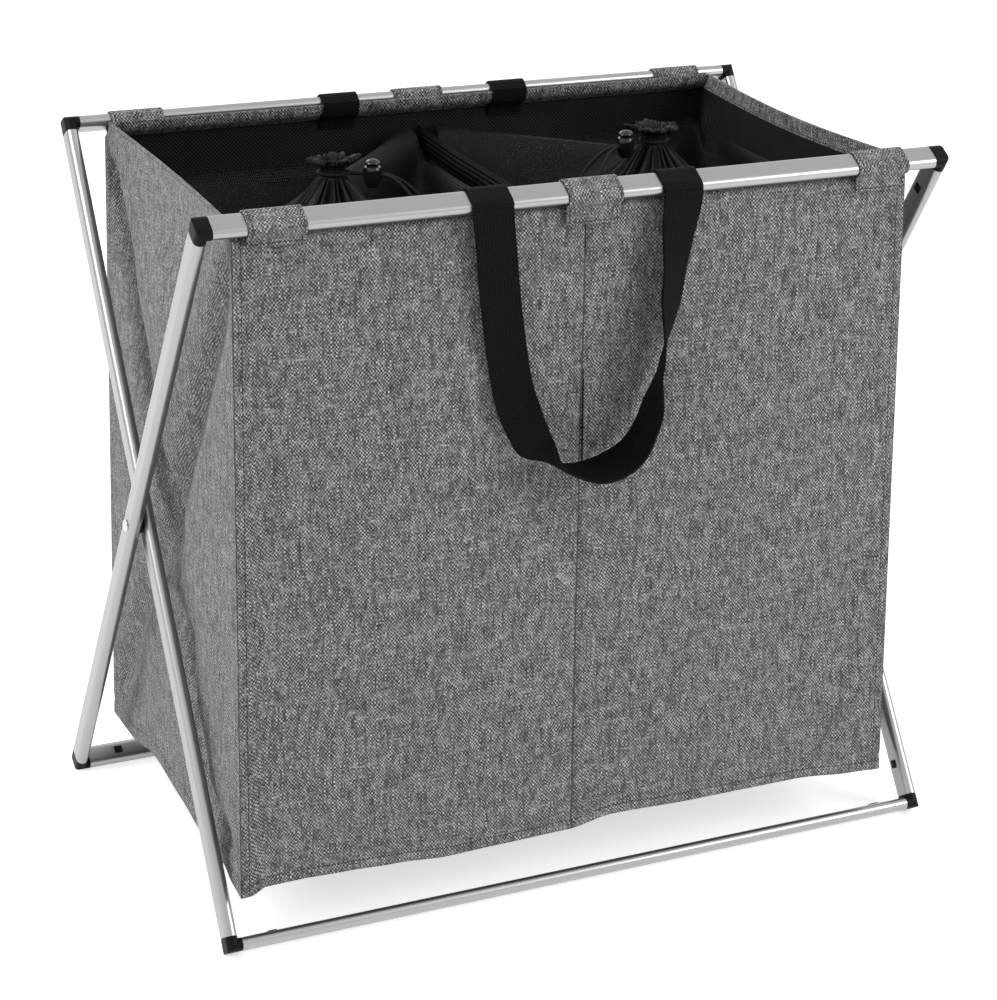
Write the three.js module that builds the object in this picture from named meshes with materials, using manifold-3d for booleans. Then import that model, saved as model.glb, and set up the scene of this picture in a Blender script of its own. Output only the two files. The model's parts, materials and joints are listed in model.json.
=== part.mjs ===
// A folding laundry hamper: a cloth bag with two bins hangs from a scissor frame of flat oval tube.
// Millimetres, +Z up. X runs across the width, Y from the front (minus) to the rear (plus).
// The origin lies on the floor, under the middle of the hamper.
// The rear half is the front half turned half a turn about Z, as on the real product.

import * as THREE from 'three';
import { mergeVertices } from 'three/addons/utils/BufferGeometryUtils.js';
import Module from 'manifold-3d';

const wasm = await Module();
wasm.setup();

// Driving dimensions

const frame = {
  width: 608, // between the leg centrelines of one frame
  spread: 361, // between the centres of the two top bars
  rise: 562, // from the centres of the bottom bars to the centres of the top bars
};

const tube = { width: 20, thickness: 10, wall: 1.2 };

const clearance = {
  seat: 0.3, // between pieces that touch
  fit: 0.3, // round a tongue, button or pin in its hole
  wrap: 0.5, // between a bar and the cloth or webbing that goes over it
  hang: 0.5, // between a hanging handle and the bag behind it
};

const cutOverrun = 1;

const corner = {
  reach: 7, // from the centreline crossing to the cut end of each tube
  tongueLength: 42,
  snapSetback: 27, // from the tube's end to the middle of the snap button
  snapButton: 6.4,
  snapProud: 0.8,
  springLength: 14,
  springThickness: 1.6,
  springSlit: 1.2,
};

const pivot = {
  washerThickness: 1.4,
  washerDiameter: 15,
  pinDiameter: 5,
  headDiameter: 10,
  headHeight: 2.2,
  tailDiameter: 8.4,
  tailHeight: 1.5,
};

const bag = {
  legGap: 21, // from the legs' centrelines to the bag's bottom corners
  floorGap: 46.4, // under the bottom corners
  belowBar: 1.6, // from a bar's underside to the panel's top edge
  taper: 11, // how much narrower the bag is at the top
  topShift: 3.5, // how far a top edge has slid along its bar, towards its own outer leg
  lead: 1, // the front and rear panels hang this far outside the bar centres
  cloth: 2,
  billow: 3, // how far the front and rear panels swell outwards
  bottomLift: 7, // how far the bottom edge rises between its hanging corners
  sideLift: 13, // how far a side's bottom edge is drawn up at its middle
  sideRimSag: 3, // how far the side's top edge sags between the rails
  sideCrease: 12, // depth of the creases that let a side fold inwards
  sideCreaseWidth: 46,
  sideHollow: 0.4, // how far a side swells out between its creases, as a share of their depth
  bottomSag: 9,
  dividerCloth: 1.6,
  dividerDrop: 16,
  dividerSway: 6,
};

const tab = {
  width: 44,
  thickness: 1.4,
  inset: 28.5, // from the bag's top corners to the middles of the outer tabs
  flapDrops: [16, 24, 21], // below the bar's centre, for the tabs from left to right
};

const hook = { thickness: 1, width: 40, topDrop: 12, margin: 1 };

const handle = {
  width: 32,
  thickness: 1.8,
  span: 156, // between the middles of the two ends
  shift: -6, // of the handle's middle from the middle of its panel
  drop: 212, // from the bar's centre to the middle of the webbing at its lowest
  twist: THREE.MathUtils.degToRad(110), // how far the webbing has rolled at the bottom
  sewnDrop: 33,
  straight: 2, // of the webbing's last stretch before the loop begins
  clearBy: 0.3, // share of the drop in which the webbing leaves the bar for its free hang
};

const net = {
  thickness: 1.1,
  neckRadius: 9.5,
  neckHeight: 6,
  neckDrop: 24.7, // from the bars' centres to the middle of the neck
  collarRadius: 22,
  collarHeight: 15,
  pleats: 8,
  pleatDepth: 5,
  ruffleDepth: 2.2,
  sag: 66,
  gatherRate: 1.15, // above 1 the cover narrows to its neck sooner
  sagShift: 0.8, // below 1 the lowest part of the cover lies nearer the hem
  rimDrop: 37, // from the bag's top edge down to the cover's rim
  rimSquareness: 12, // exponent of the rounded rectangle round the rim
  sideGap: 1.5,
  necks: [[-0.44, 0.25], [0.62, 0.305]], // of the left and right cover, in half widths and depths
};

const cord = {
  diameter: 2.8,
  gap: 0.4, // between the two strands where they run side by side
  opening: 3, // angle at which the ring opens out of the two strands, as a share of their own
};

const lock = {
  bodyRadius: 7.6,
  bodyTop: 6,
  bodyBottom: -10.5,
  bodyRound: 12.1, // height over which the barrel narrows by a radian's cosine
  pocketRadius: 5,
  pocketFloor: 1.5,
  plungerBottom: -3.4,
  capRadius: 6.4,
  capHeight: 3.6,
  travel: 2.6,
  springWire: 0.6,
  springTurns: 3,
  headings: [-35, -165].map(THREE.MathUtils.degToRad), // from each neck to its lock
};

const detail = {
  arc: 4, // steps in a quarter turn of a tube's edge
  bend: 7, // steps of a strip's bend over a bar's edge
  ring: 16, // facets round a pin or a hole
  panel: [8, 8], // columns and rows of a hanging panel
  side: [12, 12],
  bottom: [16, 6],
  ribbon: 32, // steps along a handle
  netAround: 32,
  netSkirt: 5, // rows from the rim to the neck
  netNeck: 1, // rows up the neck
  netCollar: 3, // rows from the neck to the collar's edge
  cordSides: 6,
  cordLoop: 28, // steps round the neck and back to the lock
  cordTail: 24,
  springTurn: 8, // steps in one turn of the spring
};

// Colours and finishes

const finish = {
  aluminium: { color: 0xc4c6c8, roughness: 0.35, metalness: 0.9 },
  corner: { color: 0x1b1c1d, roughness: 0.5, metalness: 0 },
  rivet: { color: 0xd2d3d5, roughness: 0.25, metalness: 1 },
  washer: { color: 0x242424, roughness: 0.6, metalness: 0 },
  cloth: { color: 0x7d797d, roughness: 0.95, metalness: 0 },
  lining: { color: 0x161617, roughness: 0.95, metalness: 0 },
  webbing: { color: 0x131313, roughness: 0.85, metalness: 0 },
  mesh: { color: 0x1b1b1d, roughness: 0.9, metalness: 0 },
  cord: { color: 0x101010, roughness: 0.8, metalness: 0 },
  lock: { color: 0x0c0c0d, roughness: 0.18, metalness: 0 },
  spring: { color: 0xaeb0b3, roughness: 0.3, metalness: 1 },
};

// Sizes that follow from the driving ones

const lean = Math.atan2(frame.spread, frame.rise);
const legReach = Math.hypot(frame.spread, frame.rise) / 2;
const edgeRadius = tube.thickness / 2;
const edgeOffset = tube.width / 2 - edgeRadius;
const barDrop = edgeRadius + edgeOffset * Math.sin(lean);
const barTop = barDrop + frame.rise;
const pivotLevel = barDrop + frame.rise / 2;
const barY = -frame.spread / 2;
const frameShift = (tube.thickness + pivot.washerThickness + 2 * clearance.seat) / 2;

const panelY = barY - bag.lead;
const bagTop = barTop - barDrop - bag.belowBar;
const bagBottom = bag.floorGap;
const bagHeight = bagTop - bagBottom;
const neckLevel = barTop - net.neckDrop;

// Helpers that make closed solids

function addTo(parent, name, geometry, look) {
  const mesh = new THREE.Mesh(geometry, new THREE.MeshStandardMaterial(look));
  mesh.name = name;
  parent.add(mesh);
  return mesh;
}

// Merges the corners of a closed shape, drops flat triangles and points its faces outwards
function closed(geometry) {
  geometry.deleteAttribute('uv');
  geometry.deleteAttribute('normal');
  const merged = mergeVertices(geometry);
  const points = merged.getAttribute('position');
  const index = [];
  let volume = 0;
  const [a, b, c] = [new THREE.Vector3(), new THREE.Vector3(), new THREE.Vector3()];
  for (let i = 0; i < merged.index.count; i += 3) {
    const [p, q, r] = [0, 1, 2].map((k) => merged.index.getX(i + k));
    if (p === q || q === r || r === p) continue;
    index.push(p, q, r);
    a.fromBufferAttribute(points, p);
    b.fromBufferAttribute(points, q);
    c.fromBufferAttribute(points, r);
    volume += a.dot(b.cross(c));
  }
  if (volume < 0) index.reverse();
  merged.setIndex(index);
  return merged;
}

function solid(geometry) {
  const shape = closed(geometry);
  return new wasm.Manifold(new wasm.Mesh({
    numProp: 3,
    vertProperties: new Float32Array(shape.getAttribute('position').array),
    triVerts: new Uint32Array(shape.index.array),
  }));
}

function geometryOf(manifold) {
  const mesh = manifold.getMesh();
  const geometry = new THREE.BufferGeometry();
  geometry.setAttribute('position', new THREE.BufferAttribute(mesh.vertProperties, 3));
  geometry.setIndex(Array.from(mesh.triVerts));
  return geometry;
}

function box(x0, x1, y0, y1, z0, z1) {
  const geometry = new THREE.BoxGeometry(x1 - x0, y1 - y0, z1 - z0);
  return geometry.translate((x0 + x1) / 2, (y0 + y1) / 2, (z0 + z1) / 2);
}

function extrude(shape, depth, steps = 1) {
  return new THREE.ExtrudeGeometry(shape, {
    depth,
    steps,
    bevelEnabled: false,
    curveSegments: detail.arc,
  });
}

// A tube's section: thickness along x, width along y, with half-round edges
function flatOval(width, thickness, Kind = THREE.Shape) {
  const r = thickness / 2;
  const offset = width / 2 - r;
  const outline = new Kind();
  outline.absarc(0, offset, r, 0, Math.PI);
  outline.absarc(0, -offset, r, Math.PI, 2 * Math.PI);
  outline.closePath();
  return outline;
}

// Joins two grids of points, facing each other, into one closed sheet
function sheet(columns, rows, near, far) {
  const positions = [];
  const index = [];
  const count = (columns + 1) * (rows + 1);
  for (const side of [near, far]) {
    for (let j = 0; j <= rows; j += 1) {
      for (let i = 0; i <= columns; i += 1) {
        positions.push(...side(i / columns, j / rows).toArray());
      }
    }
  }
  const at = (i, j) => j * (columns + 1) + i;
  for (let j = 0; j < rows; j += 1) {
    for (let i = 0; i < columns; i += 1) {
      const [a, b, c, d] = [at(i, j), at(i + 1, j), at(i + 1, j + 1), at(i, j + 1)];
      index.push(a, b, c, a, c, d);
      index.push(count + a, count + c, count + b, count + a, count + d, count + c);
    }
  }
  const edge = [];
  for (let i = 0; i < columns; i += 1) edge.push(at(i, 0));
  for (let j = 0; j < rows; j += 1) edge.push(at(columns, j));
  for (let i = columns; i > 0; i -= 1) edge.push(at(i, rows));
  for (let j = rows; j > 0; j -= 1) edge.push(at(0, j));
  edge.forEach((p, k) => {
    const q = edge[(k + 1) % edge.length];
    index.push(p, count + p, count + q, p, count + q, q);
  });
  const geometry = new THREE.BufferGeometry();
  geometry.setAttribute('position', new THREE.Float32BufferAttribute(positions, 3));
  geometry.setIndex(index);
  return closed(geometry);
}

// A cloth panel: the middle surface from a formula, given thickness along one axis
function cloth(columns, rows, middle, axis, thickness) {
  const half = axis.clone().multiplyScalar(thickness / 2);
  return sheet(
    columns,
    rows,
    (u, v) => middle(u, v).sub(half),
    (u, v) => middle(u, v).add(half),
  );
}

const X = new THREE.Vector3(1, 0, 0);
const Y = new THREE.Vector3(0, 1, 0);
const Z = new THREE.Vector3(0, 0, 1);
const lerp = THREE.MathUtils.lerp;
const smooth = THREE.MathUtils.smoothstep;

// The scissor frame

const tubeEnd = corner.reach + clearance.seat;

function tubeBlank(length) {
  const section = flatOval(tube.width, tube.thickness);
  const bore = { width: tube.width - 2 * tube.wall, thickness: tube.thickness - 2 * tube.wall };
  section.holes.push(flatOval(bore.width, bore.thickness, THREE.Path));
  return solid(extrude(section, length).translate(0, 0, -length / 2));
}

// The two square holes that take the corners' snap buttons, in the face towards the loop's inside
function snapHoles(length, inside) {
  const half = corner.snapButton / 2 + clearance.fit;
  const middle = length / 2 - corner.snapSetback;
  const outer = inside * (edgeRadius + cutOverrun);
  return [-middle, middle].map((z) => solid(box(
    Math.min(0, outer),
    Math.max(0, outer),
    -half,
    half,
    z - half,
    z + half,
  )));
}

function legTube(inside) {
  const length = 2 * (legReach - tubeEnd);
  const pinHole = new THREE.CylinderGeometry(
    pivot.pinDiameter / 2 + clearance.fit,
    pivot.pinDiameter / 2 + clearance.fit,
    tube.thickness + 2 * cutOverrun,
    detail.ring,
  );
  pinHole.rotateZ(Math.PI / 2);
  const holes = [...snapHoles(length, inside), solid(pinHole)];
  return geometryOf(holes.reduce((piece, hole) => piece.subtract(hole), tubeBlank(length)));
}

function barTube(inside) {
  const length = 2 * (frame.width / 2 - tubeEnd);
  const holes = snapHoles(length, inside);
  const bar = geometryOf(holes.reduce((piece, hole) => piece.subtract(hole), tubeBlank(length)));
  return bar.rotateY(Math.PI / 2);
}

// One arm of a corner along +z: a mitred stub flush with the tube, then a tongue with its snap button
function cornerArm() {
  const stub = extrude(flatOval(tube.width, tube.thickness), corner.reach);
  const points = stub.getAttribute('position');
  for (let i = 0; i < points.count; i += 1) {
    if (points.getZ(i) < corner.reach / 2) points.setZ(i, points.getX(i));
  }
  const inset = 2 * (tube.wall + clearance.fit);
  const width = tube.width - inset;
  const thickness = tube.thickness - inset;
  const root = corner.reach / 2;
  const tongueTop = corner.reach + corner.tongueLength;
  const tongue = extrude(flatOval(width, thickness), tongueTop - root).translate(0, 0, root);
  const face = thickness / 2;
  const half = corner.snapButton / 2;
  const middle = tubeEnd + corner.snapSetback;
  const tip = middle + half;
  const slot = half + corner.springSlit;
  const window = box(
    -face - cutOverrun,
    face + cutOverrun,
    -slot,
    slot,
    tip - corner.springLength,
    tip + corner.springSlit,
  );
  const spring = box(
    face - corner.springThickness,
    face,
    -half,
    half,
    tip - corner.springLength - corner.springSlit,
    tip,
  );
  const button = box(
    face - corner.springThickness,
    edgeRadius + corner.snapProud,
    -half,
    half,
    middle - half,
    middle + half,
  );
  return solid(stub)
    .add(solid(tongue).subtract(solid(window)))
    .add(solid(spring))
    .add(solid(button));
}

function cornerPiece() {
  const arm = geometryOf(cornerArm());
  const along = arm.clone().rotateY(Math.PI / 2);
  const down = arm.clone().rotateX(Math.PI);
  return geometryOf(solid(along).add(solid(down)));
}

// A domed rivet through both legs, its head outwards along -X
function pivotRivet() {
  const grip = tube.thickness / 2 + frameShift;
  const pin = pivot.pinDiameter / 2;
  const head = pivot.headDiameter / 2;
  const tail = pivot.tailDiameter / 2;
  const seat = grip + clearance.seat;
  const profile = [
    new THREE.Vector2(0, -seat - pivot.tailHeight),
    new THREE.Vector2(tail, -seat - pivot.tailHeight),
    new THREE.Vector2(tail, -seat),
    new THREE.Vector2(pin, -seat),
    new THREE.Vector2(pin, seat),
  ];
  for (let i = 0; i <= detail.arc; i += 1) {
    const turn = (i / detail.arc) * (Math.PI / 2);
    profile.push(new THREE.Vector2(head * Math.cos(turn), seat + pivot.headHeight * Math.sin(turn)));
  }
  profile[profile.length - 1].x = 0;
  return closed(new THREE.LatheGeometry(profile, detail.ring)).rotateZ(Math.PI / 2);
}

function pivotWasher() {
  const bore = pivot.pinDiameter / 2 + clearance.fit;
  const rim = pivot.washerDiameter / 2;
  const half = pivot.washerThickness / 2;
  const profile = [[bore, -half], [rim, -half], [rim, half], [bore, half], [bore, -half]];
  const points = profile.map(([r, y]) => new THREE.Vector2(r, y));
  return closed(new THREE.LatheGeometry(points, detail.ring)).rotateZ(Math.PI / 2);
}

// One frame: top bar over its own side, legs leaning across to the other side's floor
function scissorFrame(side) {
  const plane = new THREE.Group();
  plane.position.set(-frameShift, 0, pivotLevel);
  plane.rotation.x = lean;
  const shapes = { corner: cornerPiece() };
  for (const [level, word] of [[1, 'top'], [-1, 'bottom']]) {
    const bar = addTo(plane, `${side.frame}_${word}_bar`, barTube(level), finish.aluminium);
    bar.position.z = level * legReach;
  }
  for (const end of [-1, 1]) {
    const word = side.word(end);
    const leg = addTo(plane, `${side.frame}_${word}_leg`, legTube(-end), finish.aluminium);
    leg.position.x = end * frame.width / 2;
    for (const [level, floor] of [[1, 'top'], [-1, 'bottom']]) {
      const name = `${side.frame}_${floor}_${word}_corner`;
      const piece = addTo(plane, name, shapes.corner.clone(), finish.corner);
      piece.position.set(end * frame.width / 2, 0, level * legReach);
      piece.rotation.set(level > 0 ? 0 : Math.PI, 0, end < 0 ? 0 : Math.PI);
    }
  }
  side.group.add(plane);
  const hub = new THREE.Group();
  hub.position.set(-frame.width / 2, 0, pivotLevel);
  addTo(hub, `${side.word(-1)}_pivot_rivet`, pivotRivet(), finish.rivet);
  addTo(hub, `${side.word(-1)}_pivot_washer`, pivotWasher(), finish.washer);
  side.group.add(hub);
}

// The bag

// Heights in the bag run from 0 at its bottom corners to 1 at its top edge
const bagWidth = (height) => frame.width - 2 * bag.legGap - bag.taper * height;
const innerHalf = (height) => bagWidth(height) / 2 - bag.cloth - clearance.seat;
const heightOf = (level) => (level - bagBottom) / bagHeight;

// How far the bag's middle lies from X = 0 at a given Y: the front and rear lean to opposite sides
const skew = (y, height) => (frameShift + bag.topShift * height) * (y / (frame.spread / 2));
const wave = (share) => Math.sin(2 * Math.PI * share) ** 2;
const bottomEdge = (share) => bagBottom + bag.bottomLift * wave(share);

// A point in the middle of the front panel's cloth; share runs from its left edge to its right one
function frontPanelPoint(share, v) {
  const swell = bag.billow * wave(share) * Math.sin(Math.PI * v);
  return new THREE.Vector3(
    (share - 0.5) * bagWidth(v) - frameShift - bag.topShift * v,
    panelY - swell,
    lerp(bottomEdge(share), bagTop, v),
  );
}

function frontPanels(side) {
  const seamShare = clearance.seat / bagWidth(0) / 2;
  for (const end of [-1, 1]) {
    const [from, to] = end < 0 ? [0, 0.5 - seamShare] : [0.5 + seamShare, 1];
    const point = (u, v) => frontPanelPoint(lerp(from, to, u), v);
    const name = `${side.name}_panel_${side.word(end)}`;
    addTo(side.group, name, cloth(...detail.panel, point, Y, bag.cloth), finish.cloth);
  }
}

// Depth of the fold lines that run from the corners of a side to its middle
function sideCrease(u, v) {
  const fold = Math.abs(u - 0.5);
  const valley = Math.abs(v - 0.5) - fold;
  const across = valley * bagHeight / bag.sideCreaseWidth;
  const ends = Math.sin(Math.PI * u) * Math.sin(Math.PI * v);
  return bag.sideCrease * ends * (Math.exp(-across * across) - (1 - 2 * fold) * bag.sideHollow);
}

const wallY = -panelY - bag.cloth / 2 - clearance.seat; // just inside the front and rear panels

function sidePanel(end) {
  const middle = (u, v) => {
    const y = lerp(-wallY, wallY, u);
    const bulge = Math.sin(Math.PI * u);
    const x = end * (bagWidth(v) - bag.cloth) / 2 + skew(y, v) - end * sideCrease(u, v);
    const foot = bagBottom + bag.sideLift * bulge;
    return new THREE.Vector3(x, y, lerp(foot, bagTop - bag.sideRimSag * bulge, v));
  };
  return cloth(...detail.side, middle, X, bag.cloth);
}

function bottomPanel() {
  const middle = (u, v) => {
    const y = lerp(-wallY, wallY, v);
    const bulge = Math.sin(Math.PI * v);
    const lift = bag.sideLift * (1 - wave(u / 2)) ** 2;
    const x = lerp(-innerHalf(0), innerHalf(0), u) + skew(y, 0);
    const z = bottomEdge(u) + bag.cloth / 2 + (lift - bag.bottomSag * wave(u)) * bulge;
    return new THREE.Vector3(x, y, z);
  };
  return cloth(...detail.bottom, middle, Z, bag.cloth);
}

function dividerPanel() {
  const foot = bagBottom + bag.cloth + clearance.seat;
  const top = bagTop - bag.dividerDrop;
  const middle = (u, v) => {
    const y = lerp(-wallY, wallY, u);
    const sway = bag.dividerSway * Math.sin(2 * Math.PI * u) * Math.sin(Math.PI * v);
    return new THREE.Vector3(skew(y, v) + sway, y, lerp(foot, top, v));
  };
  return cloth(...detail.panel, middle, X, bag.dividerCloth);
}

// Tabs and handles that go over a bar

// The side view of a strip, from a line of points in (Y, Z) relative to the bar's centre
function stripOutline(line, thickness) {
  const half = thickness / 2;
  const near = [];
  const far = [];
  line.forEach((point, i) => {
    const before = line[Math.max(i - 1, 0)];
    const after = line[Math.min(i + 1, line.length - 1)];
    const along = after.clone().sub(before).normalize();
    const out = new THREE.Vector2(-along.y, along.x);
    near.push(point.clone().addScaledVector(out, half));
    far.push(point.clone().addScaledVector(out, -half));
  });
  return new THREE.Shape([...near, ...far.reverse()]);
}

// Where the straight line from a point touches a circle, as an angle round the circle's centre
function touchAngle(centre, radius, point, turn) {
  const away = point.clone().sub(centre);
  return away.angle() + turn * Math.acos(radius / away.length());
}

// Over the front bar: up from a point inside, round the bar's top, down to a point outside
function overBar(inner, outer, thickness) {
  const radius = edgeRadius + clearance.wrap + thickness / 2;
  const rearEdge = new THREE.Vector2(Math.cos(lean), Math.sin(lean)).multiplyScalar(edgeOffset);
  const frontEdge = rearEdge.clone().negate();
  const top = Math.PI / 2 + lean;
  const line = [...inner];
  const arc = (centre, from, to) => {
    for (let i = 0; i <= detail.bend; i += 1) {
      const turn = lerp(from, to, i / detail.bend);
      const spoke = new THREE.Vector2(Math.cos(turn), Math.sin(turn)).multiplyScalar(radius);
      line.push(spoke.add(centre));
    }
  };
  const first = touchAngle(rearEdge, radius, inner[inner.length - 1], 1);
  const last = touchAngle(frontEdge, radius, outer[0], -1);
  arc(rearEdge, first > Math.PI ? first - 2 * Math.PI : first, top);
  arc(frontEdge, top, last);
  line.push(...outer);
  return line;
}

// Extrudes a side view across the hamper, centred at x, on the front bar
function acrossBar(outline, x, width) {
  const geometry = extrude(outline, width);
  geometry.applyMatrix4(new THREE.Matrix4().makeBasis(Y, Z, X));
  return closed(geometry.translate(x - width / 2, barY, barTop));
}

const panelTopDrop = barTop - bagTop;

function tabs(side) {
  const inside = -bag.lead + bag.cloth / 2 + clearance.seat + tab.thickness / 2;
  const hookFace = -bag.lead - bag.cloth / 2 - clearance.seat;
  const outside = hookFace - hook.thickness - clearance.seat - tab.thickness / 2;
  const places = [-1, 0, 1].map((end) => end * (bagWidth(1) / 2 - tab.inset) - frameShift);
  places.forEach((x, i) => {
    const place = i === 1 ? 'middle' : side.word(i - 1);
    const drop = tab.flapDrops[i];
    const inner = [new THREE.Vector2(inside, 2 * clearance.seat - panelTopDrop)];
    const outer = [
      new THREE.Vector2(outside, -panelTopDrop),
      new THREE.Vector2(outside, -drop),
    ];
    const outline = stripOutline(overBar(inner, outer, tab.thickness), tab.thickness);
    const tabShape = acrossBar(outline, x, tab.width);
    addTo(side.group, `${side.name}_tab_${place}`, tabShape, finish.cloth);
    const hookShape = closed(box(
      x - hook.width / 2,
      x + hook.width / 2,
      barY + hookFace - hook.thickness,
      barY + hookFace,
      barTop - drop + hook.margin,
      barTop - hook.topDrop,
    ));
    addTo(side.group, `${side.name}_hook_strip_${place}`, hookShape, finish.lining);
  });
}

// The handle's middle line, as shares of its span and of its drop
const handleShares = [
  [0, 0], [0, 0.03], [0.03, 0.19], [0.065, 0.41], [0.11, 0.63], [0.165, 0.8], [0.255, 0.925],
  [0.41, 0.99], [0.57, 1], [0.72, 0.95], [0.81, 0.84], [0.85, 0.73], [0.89, 0.59], [0.93, 0.43],
  [0.96, 0.26], [0.99, 0.1], [1, 0.03], [1, 0],
];

// How far the webbing has rolled, as shares of the handle's length and of its twist
const rollShares = [
  [0, 0], [0.28, 0.02], [0.38, 0.35], [0.44, 0.8], [0.54, 1], [0.64, 0.85], [0.72, 0.6],
  [0.85, 0.3], [1, 0],
];

function shareAt(table, share) {
  const next = Math.max(table.findIndex(([at]) => at >= share), 1);
  const [[a, from], [b, to]] = [table[next - 1], table[next]];
  return lerp(from, to, smooth(share, a, b));
}

const strapOut = tube.width / 2 + clearance.wrap + handle.thickness / 2;
const strapEdge = edgeOffset * Math.sin(lean);

function handleLoop() {
  const end = new THREE.Vector2(-handle.span / 2 + handle.shift - frameShift, barTop - strapEdge);
  const path = new THREE.CatmullRomCurve3(handleShares.map(([across, down]) => new THREE.Vector3(
    end.x + across * handle.span,
    0,
    end.y - clearance.seat - down * (handle.drop - strapEdge),
  )));
  const resting = bag.lead + bag.cloth / 2 + bag.billow + clearance.hang;
  const section = (u) => {
    const roll = handle.twist * shareAt(rollShares, u);
    const tangent = path.getTangentAt(u);
    const outward = new THREE.Vector3(tangent.z, 0, -tangent.x);
    const middle = path.getPointAt(u);
    const drop = (end.y - middle.z) / handle.drop;
    const reach = Math.abs(Math.sin(roll)) * handle.width / 2;
    const hanging = resting + reach + Math.abs(Math.cos(roll)) * handle.thickness / 2;
    const away = lerp(strapOut, hanging, smooth(drop, 0, handle.clearBy));
    middle.y = barY - Math.max(away, reach ? hanging : away);
    const face = Y.clone().multiplyScalar(-Math.cos(roll)).addScaledVector(outward, Math.sin(roll));
    const across = new THREE.Vector3().crossVectors(tangent, face).normalize();
    return { middle, face, across };
  };
  const point = (face) => (u, v) => {
    const at = section(u);
    return at.middle
      .addScaledVector(at.across, (v - 0.5) * handle.width)
      .addScaledVector(at.face, face * handle.thickness / 2);
  };
  return sheet(detail.ribbon, 2, point(-1), point(1));
}

// The webbing from its sewn end inside, over the bar, to where the loop begins
function handleEnd(x) {
  const inside = -bag.lead + bag.cloth / 2 + clearance.seat + handle.thickness / 2;
  const inner = [
    new THREE.Vector2(inside, -handle.sewnDrop),
    new THREE.Vector2(inside, -panelTopDrop),
  ];
  const outer = [
    new THREE.Vector2(-strapOut, handle.straight - strapEdge),
    new THREE.Vector2(-strapOut, -strapEdge),
  ];
  const outline = stripOutline(overBar(inner, outer, handle.thickness), handle.thickness);
  return acrossBar(outline, x, handle.width);
}

function handleOn(side) {
  addTo(side.group, `${side.name}_handle`, handleLoop(), finish.webbing);
  for (const end of [-1, 1]) {
    const x = end * handle.span / 2 + handle.shift - frameShift;
    const name = `${side.name}_handle_end_${side.word(end)}`;
    addTo(side.group, name, handleEnd(x), finish.webbing);
  }
}

// Net covers, their drawcords and cord locks

// Offsets a grid of points both ways along its own normals, closed round the u direction
function roundSheet(columns, rows, middle, thickness) {
  const positions = [];
  const index = [];
  const step = 1e-3;
  for (const side of [-1, 1]) {
    for (let j = 0; j <= rows; j += 1) {
      for (let i = 0; i < columns; i += 1) {
        const [u, v] = [i / columns, j / rows];
        const [v0, v1] = [Math.max(v - step, 0), Math.min(v + step, 1)];
        const around = middle(u + step, v).sub(middle(u - step, v));
        const along = middle(u, v1).sub(middle(u, v0));
        const normal = around.cross(along).normalize();
        positions.push(...middle(u, v).addScaledVector(normal, side * thickness / 2).toArray());
      }
    }
  }
  const count = columns * (rows + 1);
  const at = (i, j) => j * columns + (i % columns);
  for (let i = 0; i < columns; i += 1) {
    for (let j = 0; j < rows; j += 1) {
      const [a, b, c, d] = [at(i, j), at(i + 1, j), at(i + 1, j + 1), at(i, j + 1)];
      index.push(a, b, c, a, c, d);
      index.push(count + a, count + c, count + b, count + a, count + d, count + c);
    }
    for (const j of [0, rows]) {
      const [a, b] = j ? [at(i + 1, j), at(i, j)] : [at(i, j), at(i + 1, j)];
      index.push(a, count + a, count + b, a, count + b, b);
    }
  }
  const geometry = new THREE.BufferGeometry();
  geometry.setAttribute('position', new THREE.Float32BufferAttribute(positions, 3));
  geometry.setIndex(index);
  return closed(geometry);
}

const netRim = { level: bagTop - net.rimDrop, halfDepth: wallY - net.thickness / 2 };
const rimHeight = heightOf(netRim.level);
const netRows = detail.netSkirt + detail.netNeck + detail.netCollar;
const necks = net.necks.map(([across, back]) => [across * bagWidth(1) / 2, -back * barY]);

// The cover as rows from the hem to the gathered neck, then up the neck and out to the collar
function netPoint(neck, end) {
  const inner = bag.dividerCloth / 2 + bag.dividerSway + clearance.seat;
  const outer = innerHalf(rimHeight) - net.sideGap;
  const halfWidth = (outer - inner) / 2;
  const centreX = end * (outer + inner) / 2;
  return (u, v) => {
    const turn = 2 * Math.PI * u;
    const [c, s] = [Math.cos(turn), Math.sin(turn)];
    const power = net.rimSquareness;
    const share = Math.abs(c / halfWidth) ** power + Math.abs(s / netRim.halfDepth) ** power;
    const size = share ** (-1 / power);
    const rimY = size * s;
    const rim = new THREE.Vector2(centreX + size * c + skew(rimY, rimHeight), rimY);
    const row = v * netRows;
    const pleat = Math.cos(net.pleats * turn);
    const skirt = Math.min(row / detail.netSkirt, 1);
    const neckBase = neckLevel - net.neckHeight / 2;
    const rise = Math.max(row - detail.netSkirt, 0);
    const upNeck = Math.min(rise / detail.netNeck, 1);
    const upCollar = Math.max(rise - detail.netNeck, 0) / detail.netCollar;
    const flare = smooth(upCollar, 0, 1);
    const radius = lerp(net.neckRadius, net.collarRadius, flare) + net.ruffleDepth * pleat * flare;
    const ring = new THREE.Vector2(neck[0] + radius * c, neck[1] + radius * s);
    const at = rim.clone().lerp(ring, 1 - (1 - skirt) ** net.gatherRate);
    const fold = net.pleatDepth * pleat * Math.sin(Math.PI * skirt);
    const drop = net.sag * Math.sin(Math.PI * skirt ** net.sagShift);
    const level = lerp(netRim.level, neckBase, skirt ** 2) - drop + fold;
    const height = net.neckHeight * upNeck + net.collarHeight * upCollar;
    return new THREE.Vector3(at.x, at.y, skirt < 1 ? level : neckBase + height);
  };
}

function netCover(neck, end) {
  return roundSheet(detail.netAround, netRows, netPoint(neck, end), net.thickness);
}

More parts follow.
